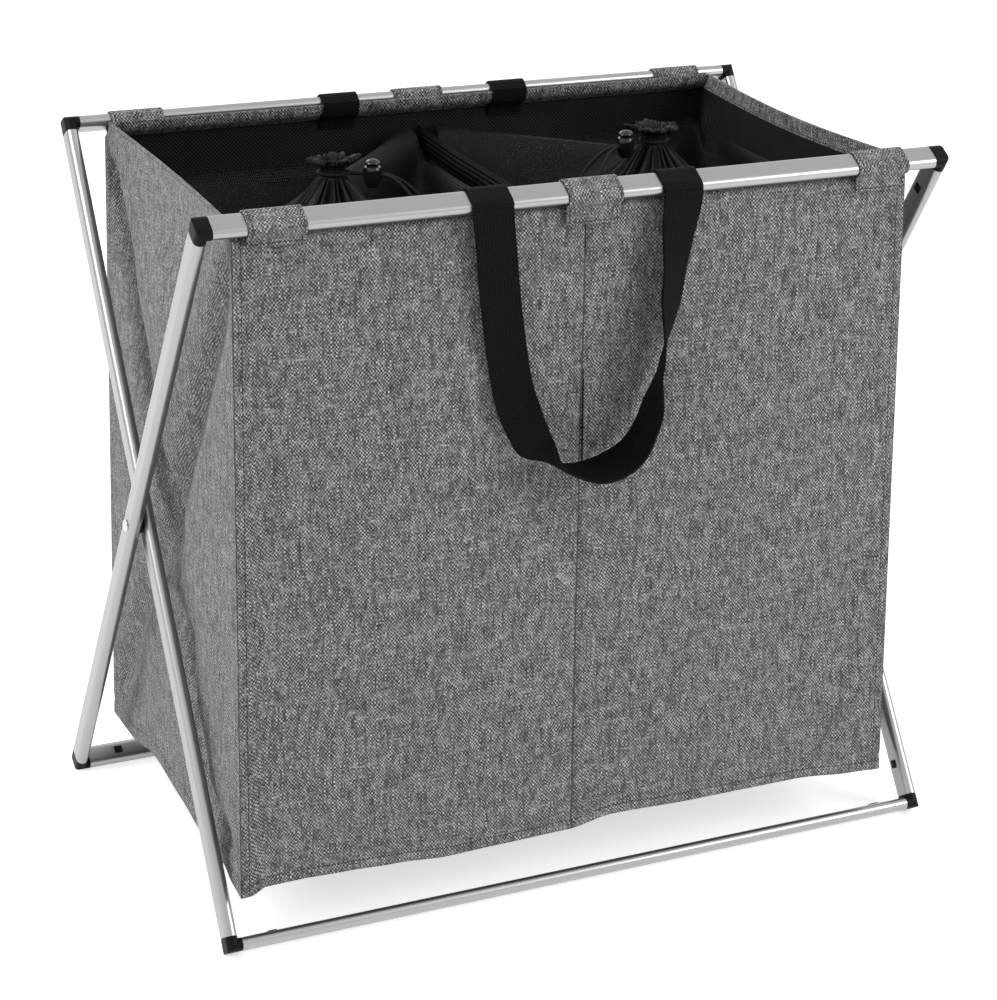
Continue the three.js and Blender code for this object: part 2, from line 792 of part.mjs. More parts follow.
const strand = (cord.diameter + cord.gap) / 2; // from the cord's doubled middle to each strand
const cordRing = net.neckRadius + net.thickness / 2 + clearance.seat + cord.diameter / 2;
const lockReach = net.collarRadius + net.ruffleDepth + lock.bodyRadius + 2 * clearance.seat;
const cordEnd = lock.pocketRadius; // where the ring of cord ends and the tail begins

function cordTube(points, steps) {
  const section = new THREE.Shape();
  for (let i = 0; i < detail.cordSides; i += 1) {
    const turn = 2 * Math.PI * i / detail.cordSides;
    const [x, y] = [Math.cos(turn), Math.sin(turn)].map((k) => k * cord.diameter / 2);
    if (i) section.lineTo(x, y);
    else section.moveTo(x, y);
  }
  section.closePath();
  const path = new THREE.CatmullRomCurve3(points, false, 'centripetal');
  const tubeShape = new THREE.ExtrudeGeometry(section, { steps, extrudePath: path });
  return closed(tubeShape);
}

// Round the neck, from one bore of the lock to the other; x points from the neck to the lock
function cordLoop() {
  const points = [];
  const opening = cord.opening * Math.asin(strand / cordRing);
  const bend = 4 * detail.arc;
  points.push(new THREE.Vector3(lockReach + cordEnd, strand, 0));
  points.push(new THREE.Vector3(lockReach - lock.bodyRadius, strand, 0));
  points.push(new THREE.Vector3(cordRing + 2 * strand, strand, 0));
  for (let i = 0; i <= bend; i += 1) {
    const turn = lerp(opening, 2 * Math.PI - opening, i / bend);
    points.push(new THREE.Vector3(cordRing * Math.cos(turn), cordRing * Math.sin(turn), 0));
  }
  points.push(new THREE.Vector3(cordRing + 2 * strand, -strand, 0));
  points.push(new THREE.Vector3(lockReach - lock.bodyRadius, -strand, 0));
  points.push(new THREE.Vector3(lockReach + cordEnd, -strand, 0));
  return cordTube(points, detail.cordLoop);
}

// The tail's route from the lock's axis, chosen by hand: out of one bore, down the net, back again
const tailRoute = [
  [5.3, 1.6, 0], [12, 1.7, -0.4], [20, 3.4, -3.6], [28, 6.4, -9.6], [35, 9, -17], [42, 9.6, -24.4],
  [49, 7.6, -30.4], [53.4, 2.6, -33.6], [53.2, -3, -33.4], [48.8, -7.2, -30], [42, -9, -24],
  [35, -8.6, -16.6], [28, -6.2, -9.2], [20, -3.4, -3.4], [12, -1.7, -0.4], [5.3, -1.6, 0],
];

function cordTail() {
  const points = tailRoute.map(([x, y, z]) => new THREE.Vector3(lockReach + x, y, z));
  return cordTube(points, detail.cordTail);
}

// The slot for the doubled cord: from z0 to z1, as wide as both strands
function cordSlot(z0, z1) {
  const half = strand + cord.diameter / 2 + clearance.fit;
  const reach = lock.bodyRadius + cutOverrun;
  return solid(box(-reach, reach, -half, half, z0, z1));
}

function turned(profile) {
  const points = profile.map(([r, z]) => new THREE.Vector2(r, z));
  return closed(new THREE.LatheGeometry(points, detail.ring)).rotateX(Math.PI / 2);
}

const cordSeat = cord.diameter / 2 + clearance.fit;

function lockBody() {
  const barrel = [];
  const steps = 2 * detail.arc;
  for (let i = 0; i <= steps; i += 1) {
    const z = lerp(lock.bodyBottom, lock.bodyTop, i / steps);
    barrel.push([lock.bodyRadius * Math.cos(z / lock.bodyRound), z]);
  }
  const floor = lock.bodyBottom + lock.pocketFloor;
  const shell = turned([
    [0, lock.bodyBottom],
    ...barrel,
    [lock.pocketRadius, lock.bodyTop],
    [lock.pocketRadius, floor],
    [0, floor],
  ]);
  return geometryOf(solid(shell).subtract(cordSlot(-cordSeat, cordSeat)));
}

function lockPlunger() {
  const radius = lock.pocketRadius - clearance.fit;
  const under = lock.bodyTop + lock.travel + clearance.seat;
  const cap = [];
  for (let i = 0; i <= detail.arc; i += 1) {
    const turn = (i / detail.arc) * (Math.PI / 2);
    cap.push([lock.capRadius * Math.cos(turn), under + lock.capHeight * Math.sin(turn)]);
  }
  cap[detail.arc][0] = 0;
  const body = turned([
    [0, lock.plungerBottom],
    [radius, lock.plungerBottom],
    [radius, under],
    ...cap,
  ]);
  return geometryOf(solid(body).subtract(cordSlot(-cordSeat, cordSeat + lock.travel)));
}

function lockSpring() {
  const radius = lock.pocketRadius - clearance.fit - lock.springWire;
  const low = lock.bodyBottom + lock.pocketFloor + clearance.seat + lock.springWire / 2;
  const high = lock.plungerBottom - clearance.seat - lock.springWire / 2;
  const points = [];
  const steps = lock.springTurns * detail.springTurn;
  for (let i = 0; i <= steps; i += 1) {
    const turn = (i / steps) * lock.springTurns * 2 * Math.PI;
    points.push(new THREE.Vector3(
      radius * Math.cos(turn),
      radius * Math.sin(turn),
      lerp(low, high, i / steps),
    ));
  }
  const wire = new THREE.Shape();
  wire.absarc(0, 0, lock.springWire / 2, 0, 2 * Math.PI);
  const path = new THREE.CatmullRomCurve3(points);
  const options = { steps, extrudePath: path, curveSegments: detail.arc };
  return closed(new THREE.ExtrudeGeometry(wire, options));
}

function gather(part, word, neck, heading) {
  const neckGroup = new THREE.Group();
  neckGroup.position.set(neck[0], neck[1], neckLevel);
  neckGroup.rotation.z = heading;
  addTo(neckGroup, `${word}_drawcord`, cordLoop(), finish.cord);
  addTo(neckGroup, `${word}_drawcord_tail`, cordTail(), finish.cord);
  const lockGroup = new THREE.Group();
  lockGroup.position.x = lockReach;
  addTo(lockGroup, `${word}_lock_body`, lockBody(), finish.lock);
  addTo(lockGroup, `${word}_lock_plunger`, lockPlunger(), finish.lock);
  addTo(lockGroup, `${word}_lock_spring`, lockSpring(), finish.spring);
  neckGroup.add(lockGroup);
  part.add(neckGroup);
}

// Assembly

const hamper = new THREE.Group();

for (const [name, letter, half] of [['front', 'a', 1], ['rear', 'b', -1]]) {
  const group = new THREE.Group();
  group.rotation.z = half > 0 ? 0 : Math.PI;
  hamper.add(group);
  const word = (end) => (end * half < 0 ? 'left' : 'right');
  const side = { name, frame: `frame_${letter}`, group, word };
  scissorFrame(side);
  frontPanels(side);
  tabs(side);
  handleOn(side);
}

addTo(hamper, 'bottom_panel', bottomPanel(), finish.cloth);
addTo(hamper, 'divider', dividerPanel(), finish.lining);
for (const [i, end, word] of [[0, -1, 'left'], [1, 1, 'right']]) {
  addTo(hamper, `${word}_side_panel`, sidePanel(end), finish.cloth);
  addTo(hamper, `${word}_net_cover`, netCover(necks[i], end), finish.mesh);
  gather(hamper, word, necks[i], lock.headings[i]);
}

export default hamper;
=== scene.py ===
# %% [markdown]
# # Laundry hamper with two bins
# A grey cloth bag with a dividing wall hangs from a folding frame of flat oval aluminium tube.
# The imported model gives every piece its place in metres. This lesson dresses it: rigid pieces get
# softened edges and a finish, and cloth, webbing, nets and cords are shaped again with more detail.

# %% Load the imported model
import json
import math

import bmesh
import bpy
from mathutils import Matrix, Vector, noise

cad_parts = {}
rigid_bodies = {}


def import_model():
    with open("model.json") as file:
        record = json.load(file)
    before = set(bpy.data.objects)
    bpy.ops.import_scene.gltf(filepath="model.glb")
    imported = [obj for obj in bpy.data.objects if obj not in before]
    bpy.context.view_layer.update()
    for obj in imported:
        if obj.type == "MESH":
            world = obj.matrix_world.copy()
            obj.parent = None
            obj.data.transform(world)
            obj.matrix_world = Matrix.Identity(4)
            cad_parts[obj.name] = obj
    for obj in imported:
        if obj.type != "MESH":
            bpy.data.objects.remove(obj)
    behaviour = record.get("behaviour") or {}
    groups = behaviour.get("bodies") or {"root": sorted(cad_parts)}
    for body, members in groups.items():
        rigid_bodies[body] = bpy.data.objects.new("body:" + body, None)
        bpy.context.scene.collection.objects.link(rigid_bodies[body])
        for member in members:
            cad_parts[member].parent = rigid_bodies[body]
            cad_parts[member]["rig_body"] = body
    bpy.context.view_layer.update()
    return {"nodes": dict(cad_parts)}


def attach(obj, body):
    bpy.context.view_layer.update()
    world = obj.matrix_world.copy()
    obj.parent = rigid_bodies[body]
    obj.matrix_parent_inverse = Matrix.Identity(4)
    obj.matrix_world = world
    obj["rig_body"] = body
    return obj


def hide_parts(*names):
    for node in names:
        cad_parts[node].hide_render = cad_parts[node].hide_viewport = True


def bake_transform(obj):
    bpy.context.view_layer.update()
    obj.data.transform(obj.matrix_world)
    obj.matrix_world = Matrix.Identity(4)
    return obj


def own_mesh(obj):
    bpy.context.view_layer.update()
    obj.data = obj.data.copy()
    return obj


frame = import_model()

# %% [markdown]
# ## Sizes
# The same sizes that drive the solids are repeated here in millimetres, so that a cloth piece can
# follow the same formula as its solid and then add folds. They turn into metres only where a mesh is
# written or a call describes a piece.

# %% Sizes in millimetres
MM = 0.001
SPREAD, RISE = 361, 562
TUBE_WIDTH, TUBE_THICKNESS = 20, 10
LEAN = math.atan2(SPREAD, RISE)
EDGE_RADIUS = TUBE_THICKNESS / 2
EDGE_OFFSET = TUBE_WIDTH / 2 - EDGE_RADIUS
BAR_Y = -SPREAD / 2
BAR_TOP = EDGE_RADIUS + EDGE_OFFSET * math.sin(LEAN) + RISE
FRAME_SHIFT = 6.0
PANEL_Y = BAR_Y - 1
BAG_TOP = RISE - 1.6
BAG_BOTTOM = 46.4
CLOTH = 2.0
PLUMB_TOP = 556
TUCK = [(0, 0, 0), (2.5, 1.2, 2.2), (7.8, 5.5, 5.3), (12.3, 9.3, 7.8), (16.1, 11.3, 11), (21.2, 12, 16)]
PLUMB = PLUMB_TOP - BAG_BOTTOM
HEIGHT = PLUMB + TUCK[-1][0]
RIM = PLUMB_TOP + TUCK[-1][2]
print("bar centre at", round(BAR_TOP, 2), "bag from", BAG_BOTTOM, "to", RIM)


def lerp(a, b, share):
    return a + (b - a) * share


def smooth(value, low, high):
    share = min(max((value - low) / (high - low), 0), 1)
    return share * share * (3 - 2 * share)


def share_at(table, share):
    for (a, low), (b, high) in zip(table, table[1:]):
        if share <= b:
            return lerp(low, high, smooth(share, a, b))
    return table[-1][1]


def add_object(name, data):
    added = bpy.data.objects.new(name, data)
    bpy.context.scene.collection.objects.link(added)
    return added


# %% [markdown]
# ## Camera
# The viewpoint was worked out from the corners, legs and seams of the photograph: the eye is two
# metres away, left of the middle and half a metre above the bars, behind a long lens.

# %% Camera
def place_camera():
    yaw, pitch, roll = (math.radians(a) for a in (25.015, 18.012, 0.716))
    ahead = Vector((math.sin(yaw) * math.cos(pitch), math.cos(yaw) * math.cos(pitch), -math.sin(pitch)))
    right = Vector((math.cos(yaw), -math.sin(yaw), 0))
    up = right.cross(ahead)
    right, up = (
        math.cos(roll) * right + math.sin(roll) * up,
        math.cos(roll) * up - math.sin(roll) * right,
    )
    lens = bpy.data.cameras.new("camera")
    lens.lens, lens.sensor_width, lens.shift_y = 97.02, 36, -0.1
    camera = add_object("camera", lens)
    turned = Matrix((right, up, -ahead)).transposed().to_4x4()
    camera.matrix_world = Matrix.Translation((-0.8865, -1.9103, 1.0371)) @ turned
    bpy.context.scene.camera = camera
    print("camera at", [round(x, 3) for x in camera.matrix_world.translation])


place_camera()

# %% [markdown]
# ## Helpers for finishes
# A finish is a node tree that ends in the Principled shader. These helpers add one node at a time and
# take either a number or another node's output for each input, which keeps each recipe readable.

# %% Node helpers
def fill_socket(finish, socket, value):
    if isinstance(value, bpy.types.NodeSocket):
        finish.node_tree.links.new(value, socket)
    elif value is not None:
        socket.default_value = value


def add_node(finish, kind, settings, inputs):
    node = finish.node_tree.nodes.new(kind)
    for name, value in settings.items():
        setattr(node, name, value)
    for key, value in inputs.items():
        fill_socket(finish, node.inputs[key], value)
    return node


def calc(finish, operation, *values):
    node = add_node(finish, "ShaderNodeMath", {"operation": operation}, dict(enumerate(values)))
    return node.outputs[0]


def vector_of(finish, x, y, z=0.0):
    return add_node(finish, "ShaderNodeCombineXYZ", {}, {0: x, 1: y, 2: z}).outputs[0]


def cloudy(finish, place, scale, detail=2.0):
    inputs = {"Vector": place, "Scale": scale, "Detail": detail}
    return add_node(finish, "ShaderNodeTexNoise", {}, inputs).outputs["Fac"]


def ramp(finish, share, stops):
    node = add_node(finish, "ShaderNodeValToRGB", {}, {"Fac": share})
    marks = node.color_ramp.elements
    for mark, (at, colour) in zip(marks, stops[:2]):
        mark.position, mark.color = at, (*colour, 1)
    for at, colour in stops[2:]:
        marks.new(at).color = (*colour, 1)
    return node.outputs["Color"]


def spread_out(finish, value, low, high, new_low=0.0, new_high=1.0):
    inputs = {"Value": value, 1: low, 2: high, 3: new_low, 4: new_high}
    return add_node(finish, "ShaderNodeMapRange", {}, inputs).outputs[0]


def blend_colours(finish, share, first, second):
    node = add_node(finish, "ShaderNodeMix", {"data_type": "RGBA"}, {0: share})
    fill_socket(finish, node.inputs[6], first)
    fill_socket(finish, node.inputs[7], second)
    return node.outputs[2]


def raised(finish, height, strength, distance):
    inputs = {"Height": height, "Strength": strength, "Distance": distance}
    return add_node(finish, "ShaderNodeBump", {}, inputs).outputs["Normal"]


def new_finish(name, **sockets):
    finish = bpy.data.materials.new(name)
    finish.use_nodes = True
    shader = finish.node_tree.nodes["Principled BSDF"]
    for key, value in sockets.items():
        shader.inputs[key.replace("_", " ")].default_value = value
    return finish, shader


def flat_place(finish, layer="cloth"):
    node = add_node(finish, "ShaderNodeUVMap", {"uv_map": layer}, {})
    split = add_node(finish, "ShaderNodeSeparateXYZ", {}, {0: node.outputs[0]})
    return split.outputs[0], split.outputs[1]


def object_place(finish):
    return add_node(finish, "ShaderNodeTexCoord", {}, {}).outputs["Object"]


def dressed(finish, shader, colour, height, strength, distance):
    fill_socket(finish, shader.inputs["Base Color"], colour)
    fill_socket(finish, shader.inputs["Normal"], raised(finish, height, strength, distance))
    return finish


def either(finish, *masks):
    found = masks[0]
    for mask in masks[1:]:
        found = calc(finish, "MAXIMUM", found, mask)
    return found


# %% [markdown]
# ## Grey melange cloth
# The bag is a plain weave of yarns that are each spun from light and dark fibres, so every thread
# changes shade along its length. One noise runs along each warp thread and another along each weft
# thread, and a checker decides which of them lies on top. Each crossing also has a fleck of its own,
# and each thread is painted lighter on its crown and darker at its sides, as painted shade of its
# round section.
# A photographed texture would be simpler, but a recipe has no edges and keeps its scale everywhere.

# %% Melange recipe
WARP_PITCH, WEFT_PITCH, CLOTH_LEVEL = 1.37, 1.56, -0.29
YARN_STOPS = [
    (0.0, (0.012, 0.009, 0.014)), (1.0, (0.58, 0.575, 0.59)), (0.25, (0.040, 0.033, 0.044)),
    (0.5, (0.147, 0.139, 0.154)), (0.75, (0.36, 0.35, 0.37)),
]


def melange(finish, u, v):
    slubs = [cloudy(finish, vector_of(finish, u, v, layer), 0.13, 1.0) for layer in (0.0, 400.0)]
    u, v = (calc(finish, "MULTIPLY_ADD", slub, 3.2, x) for slub, x in zip(slubs, (u, v)))
    across, along = calc(finish, "DIVIDE", u, WARP_PITCH), calc(finish, "DIVIDE", v, WEFT_PITCH)
    warp, weft = calc(finish, "FLOOR", across), calc(finish, "FLOOR", along)
    strands = []
    for thread, run, stretch in ((warp, v, 0.06), (weft, u, 0.045)):
        far_apart = calc(finish, "MULTIPLY", thread, 17.31)
        stretched = calc(finish, "MULTIPLY", run, stretch)
        strands.append(cloudy(finish, vector_of(finish, far_apart, stretched), 1.0, 3.0))
    sum_of = calc(finish, "ADD", warp, weft)
    over = calc(finish, "FLOORED_MODULO", sum_of, 2.0)
    difference = calc(finish, "SUBTRACT", strands[1], strands[0])
    top = calc(finish, "MULTIPLY_ADD", difference, over, strands[0])
    flat, crossing = {"noise_dimensions": "2D"}, {"Vector": vector_of(finish, warp, weft)}
    fleck = add_node(finish, "ShaderNodeTexWhiteNoise", flat, crossing).outputs["Value"]
    patches = cloudy(finish, vector_of(finish, u, v), 0.05, 2.0)
    humps = []
    for share in (across, along):
        wave = calc(finish, "SINE", calc(finish, "MULTIPLY", share, math.pi))
        humps.append(calc(finish, "ABSOLUTE", wave))
    hump = calc(finish, "MULTIPLY_ADD", calc(finish, "SUBTRACT", humps[1], humps[0]), over, humps[0])
    worn = calc(finish, "MULTIPLY", over, spread_out(finish, slubs[1], 0.35, 0.65, 0.45, 1.0))
    level = calc(finish, "MULTIPLY_ADD", top, 1.35, CLOTH_LEVEL)
    # hump also lightens each thread's crown and darkens its sides: painted shade of the round threads
    for part, weight in ((patches, 0.08), (fleck, 0.28), (worn, -0.6), (hump, 0.18)):
        level = calc(finish, "MULTIPLY_ADD", part, weight, level)
    shade = ramp(finish, level, YARN_STOPS)
    height = calc(finish, "MULTIPLY_ADD", top, 0.5, hump)
    return shade, height


# %% [markdown]
# ## Stitches
# The seams are lock-stitched 7 mm from the edge with dark thread. A stitch is a short dash sunk into
# the cloth, so the cloth's second map, which holds the distances from the nearest seam and from the
# end, gives the line, and the length along it gives the dashes. Real thread would look the same here.

# %% Stitch recipe
THREAD_COLOUR = (0.03, 0.027, 0.033, 1)



def band(finish, value, middle, half):
    away = calc(finish, "ABSOLUTE", calc(finish, "SUBTRACT", value, middle))
    return calc(finish, "LESS_THAN", away, half)


def dashes(finish, run, pitch=4.2, share=0.7):
    turn = calc(finish, "FRACT", calc(finish, "DIVIDE", run, pitch))
    return calc(finish, "LESS_THAN", turn, share)


def stitch_line(finish, value, middle, run):
    return calc(finish, "MULTIPLY", band(finish, value, middle, 0.5), dashes(finish, run))


# %% Grey cloth of the bag and the tabs
SEAM_STITCH, TOP_STITCH, FOOT_STITCH = 7, 2.5, HEIGHT - 7.5
# Bands along the corner seams and the front's middle seam are painted darker: painted shade in the seam
# grooves.
SEAM_SHADOW_BANDS, SEAM_SHADOW_STRENGTH = [(0, 0.7), (284, 1.8)], 0.75


def melange_cloth(name, lines, seams=()):
    """lines are rows of stitches: 0 or 1 for the edge they follow, and their distance from it."""
    finish, shader = new_finish(name, Roughness=0.92, Sheen_Weight=0.12, Sheen_Roughness=0.6)
    u, v = flat_place(finish)
    edges = flat_place(finish, "edges")
    shade, height = melange(finish, u, v)
    stitches = either(finish, *(stitch_line(finish, edges[k], inset, (v, u)[k]) for k, inset in lines))
    dark = stitches
    # painted shade along the seams, blended towards the thread colour
    if seams:
        seam = either(finish, *(band(finish, edges[0], middle, half) for middle, half in seams))
        dark = either(finish, stitches, calc(finish, "MULTIPLY", seam, SEAM_SHADOW_STRENGTH))
    colour = blend_colours(finish, dark, shade, THREAD_COLOUR)
    sunk = calc(finish, "MULTIPLY_ADD", stitches, -0.8, height)
    return dressed(finish, shader, colour, sunk, 0.35, 0.0005)


# %% [markdown]
# ## Black lining
# Inside, the bag is lined with a thin black mesh whose small holes show the grey cloth behind as rows
# of brownish dots. The grey cloth comes over the rim and down inside as a hem. One finish holds both
# and changes over at the hem's edge, since they are sewn to each other there.

# %% Lining recipe
HEM_STITCH, HEM_EDGE = 15, 18


def mesh_dots(finish, u, v, pitch, size):
    rows = calc(finish, "DIVIDE", v, pitch / 2)
    slid = calc(finish, "MULTIPLY_ADD", calc(finish, "FLOOR", rows), pitch / 2, u)
    x = calc(finish, "SUBTRACT", calc(finish, "FRACT", calc(finish, "DIVIDE", slid, pitch)), 0.5)
    y = calc(finish, "SUBTRACT", calc(finish, "FRACT", rows), 0.5)
    tall = calc(finish, "MULTIPLY", y, calc(finish, "MULTIPLY", y, 0.4))
    return calc(finish, "LESS_THAN", calc(finish, "MULTIPLY_ADD", x, x, tall), size)


def bag_lining(hem):
    finish, shader = new_finish("black_mesh_lining", Roughness=0.88, Specular_IOR_Level=0.12)
    u, v = flat_place(finish)
    from_top = flat_place(finish, "edges")[1]
    dots = mesh_dots(finish, u, v, 3.4, 0.06)
    mottle = cloudy(finish, vector_of(finish, u, v), 0.05)
    black = ramp(finish, mottle, [(0.3, (0.0025, 0.0025, 0.003)), (0.75, (0.007, 0.0067, 0.0067))])
    colour = blend_colours(finish, dots, black, (0.034, 0.029, 0.023, 1))
    height = calc(finish, "MULTIPLY", dots, -0.6)
    if hem:
        shade, weave = melange(finish, u, v)
        stitches = stitch_line(finish, from_top, HEM_STITCH, u)
        hemmed = blend_colours(finish, stitches, shade, THREAD_COLOUR)
        inside_hem = calc(finish, "LESS_THAN", from_top, HEM_EDGE)
        colour = blend_colours(finish, inside_hem, colour, hemmed)
        step = calc(finish, "MULTIPLY", inside_hem, 2.0)
        height = calc(finish, "ADD", calc(finish, "MULTIPLY_ADD", weave, 0.5, height), step)
    return dressed(finish, shader, colour, height, 0.4, 0.0005)


# %% [markdown]
# ## Webbing, net and cord
# The handles are black polypropylene webbing with fine ribs across and a flat woven edge. The covers
# are a soft warp-knit net that light passes through. The drawcords are round braid.

# %% Webbing
def webbing_finish():
    finish, shader = new_finish("black_webbing", Roughness=0.6, Specular_IOR_Level=0.07)
    u, v = flat_place(finish)
    rib = calc(finish, "SINE", calc(finish, "MULTIPLY", v, 2 * math.pi / 1.5))
    cells = calc(finish, "SINE", calc(finish, "MULTIPLY", u, 2 * math.pi / 2.6))
    height = calc(finish, "MULTIPLY_ADD", cells, 0.45, rib)
    fibres = cloudy(finish, vector_of(finish, calc(finish, "MULTIPLY", u, 2.2), v), 1.0, 3.0)
    # the ribs' height also enters the colour: painted shade of the ribs, lighter crests and darker
    # furrows, over the fibres' own tone
    fibres_and_rib_shade = calc(finish, "MULTIPLY_ADD", height, 0.16, fibres)
    shade = ramp(finish, fibres_and_rib_shade, [(0.25, (0.0015, 0.0015, 0.0015)), (0.8, (0.0115, 0.012, 0.012))])
    return dressed(finish, shader, shade, height, 0.8, 0.0006)


# %% Net
def net_finish():
    finish, shader = new_finish("black_net", Roughness=0.55, Specular_IOR_Level=0.22)
    u, v = flat_place(finish)
    holes = mesh_dots(finish, u, v, 2.0, 0.085)
    gathered = flat_place(finish, "edges")[0]
    fibres = cloudy(finish, vector_of(finish, u, v), 0.3, 3.0)
    shade = ramp(finish, fibres, [(0.25, (0.003, 0.003, 0.0035)), (0.8, (0.012, 0.012, 0.0125))])
    open_share = calc(finish, "MULTIPLY", holes, calc(finish, "SUBTRACT", 0.9, gathered))
    cover = calc(finish, "SUBTRACT", 0.92, calc(finish, "MAXIMUM", open_share, 0.0))
    fill_socket(finish, shader.inputs["Alpha"], cover)
    return dressed(finish, shader, shade, holes, -0.1, 0.0002)


# %% Braid
def braid_finish():
    finish, shader = new_finish("black_braid", Roughness=0.7, Specular_IOR_Level=0.2)
    inputs = {"Vector": object_place(finish), "Scale": 700.0}
    cells = add_node(finish, "ShaderNodeTexVoronoi", {}, inputs).outputs["Distance"]
    # darker towards each cell's edge, where the bump sinks: painted shade between the strands of the
    # braid
    shade = ramp(finish, cells, [(0.1, (0.013, 0.013, 0.0135)), (0.7, (0.003, 0.003, 0.003))])
    return dressed(finish, shader, shade, cells, -0.5, 0.0006)


# %% [markdown]
# ## Aluminium, plastic and steel
# The tube is drawn aluminium with a satin anodised skin, so its faint lines run along its length. The
# lines are a noise stretched along the tube, turned with the legs' lean. The corners are moulded
# plastic with a fine spark texture, and the cord locks are polished.

# %% Tube finish
def tube_finish(part, lean):
    finish, shader = new_finish(f"satin_aluminium_{part}", Metallic=1.0, Roughness=0.33)
    place = object_place(finish)
    turn = add_node(finish, "ShaderNodeMapping", {}, {"Vector": place, "Rotation": (lean, 0, 0)})
    scale = (900, 900, 6) if lean else (6, 900, 900)
    stretch = add_node(finish, "ShaderNodeMapping", {}, {"Vector": turn.outputs[0], "Scale": scale})
    lines = cloudy(finish, stretch.outputs[0], 1.0, 3.0)
    haze = cloudy(finish, place, 14.0, 2.0)
    both = calc(finish, "MULTIPLY_ADD", haze, 0.4, calc(finish, "MULTIPLY", lines, 0.6))
    shade = ramp(finish, both, [(0.3, (0.37, 0.375, 0.375)), (0.7, (0.39, 0.395, 0.395))])
    fill_socket(finish, shader.inputs["Roughness"], spread_out(finish, both, 0.3, 0.7, 0.28, 0.32))
    return dressed(finish, shader, shade, lines, 0.03, 0.0001)


# %% Plastic, gloss plastic and steel
def grained(name, dark, light, scale, strength, **sockets):
    finish, shader = new_finish(name, **sockets)
    grain = cloudy(finish, object_place(finish), scale, 4.0)
    shade = ramp(finish, grain, [(0.3, dark), (0.7, light)])
    return dressed(finish, shader, shade, grain, strength, 0.0002)


FINISH = {
    "cloth": melange_cloth(
        "grey_melange_cloth", [(0, SEAM_STITCH), (1, TOP_STITCH), (1, FOOT_STITCH)], SEAM_SHADOW_BANDS,
    ),
    "tab": melange_cloth("grey_tab_cloth", [(0, TOP_STITCH), (1, TOP_STITCH)]),
    "lining": bag_lining(True),
    "wall": bag_lining(False),
    "webbing": webbing_finish(),
    "net": net_finish(),
    "braid": braid_finish(),
    "bar": tube_finish("bar", 0),
    "leg_a": tube_finish("leg_a", LEAN),
    "leg_b": tube_finish("leg_b", -LEAN),
    "corner": grained(
        "moulded_black", (0.003, 0.003, 0.0035), (0.006, 0.006, 0.0065), 900, 0.2,
        Roughness=0.45, Specular_IOR_Level=0.1,
    ),
    "lock": grained(
        "polished_black", (0.007, 0.007, 0.007), (0.01, 0.01, 0.01), 90, 0.03, Roughness=0.12,
    ),
    "steel": grained(
        "bright_steel", (0.62, 0.62, 0.63), (0.72, 0.72, 0.73), 500, 0.05,
        Roughness=0.25, Metallic=1.0,
    ),
    "hook": grained(
        "black_hook_tape", (0.006, 0.006, 0.007), (0.03, 0.03, 0.032), 1300, 1.0, Roughness=0.95,
    ),
}
print("finishes:", ", ".join(sorted(FINISH)))

# %% [markdown]
# ## Rigid pieces
# The tubes, corners, rivets and locks already have their true shape, but their corners are knife
# sharp and their facets show. A copy of each is welded, its sharp edges get a small bevel, and the
# normals are weighted, so that the light runs along the edges as it does on a drawn or moulded piece.
# The faces could also be modelled again, but then two shapes would have to be kept the same.

# %% Softened copies of rigid nodes
SAME_PLACE = 0.00001
FLAT_ANGLE, SMOOTH_ANGLE, SHARP_ANGLE = (math.radians(angle) for angle in (1, 32, 35))


def softened(node, finish, bevel):
    solid = frame["nodes"][node]
    bm = bmesh.new()
    bm.from_mesh(solid.data)
    bmesh.ops.remove_doubles(bm, verts=bm.verts, dist=SAME_PLACE)
    bmesh.ops.dissolve_limit(bm, angle_limit=FLAT_ANGLE, verts=bm.verts, edges=bm.edges)
    sharp = [e for e in bm.edges if len(e.link_faces) == 2 and e.calc_face_angle() > SHARP_ANGLE]
    if bevel:
        bmesh.ops.bevel(
            bm, geom=sharp, offset=bevel * MM, offset_type="OFFSET", affect="EDGES",
            segments=2, profile=0.5, clamp_overlap=True, material=-1,
        )
    mesh = bpy.data.meshes.new(node + "_finished")
    bm.to_mesh(mesh)
    bm.free()
    mesh.materials.append(FINISH[finish])
    mesh.set_sharp_from_angle(angle=SMOOTH_ANGLE)
    mesh.polygons.foreach_set("use_smooth", [True] * len(mesh.polygons))
    piece = add_object(node + "_finished", mesh)
    piece.modifiers.new("even light", "WEIGHTED_NORMAL").keep_sharp = True
    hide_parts(node)
    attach(piece, solid["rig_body"])
    return piece


for letter in "ab":
    for level in ("top", "bottom"):
        softened(f"frame_{letter}_{level}_bar", "bar", 0)
        for end in ("left", "right"):
            softened(f"frame_{letter}_{level}_{end}_corner", "corner", 0.5)
    for end in ("left", "right"):
        softened(f"frame_{letter}_{end}_leg", f"leg_{letter}", 0)
for end in ("left", "right"):
    softened(f"{end}_pivot_rivet", "steel", 0.2)
    softened(f"{end}_pivot_washer", "corner", 0.2)
    softened(f"{end}_lock_body", "lock", 0.4)
    softened(f"{end}_lock_plunger", "lock", 0.3)
    spring = softened(f"{end}_lock_spring", "steel", 0)
    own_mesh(spring)
print("rigid pieces done")

# %% [markdown]
# ## Cloth as a formed grid
# Each cloth piece starts as a flat grid, like a cut piece on the table. Its vertices then move to
# where the cloth hangs, while its maps keep the flat millimetres, so the weave never stretches. The
# grid's lines needn't be even: they stand closer together at seams and edges.

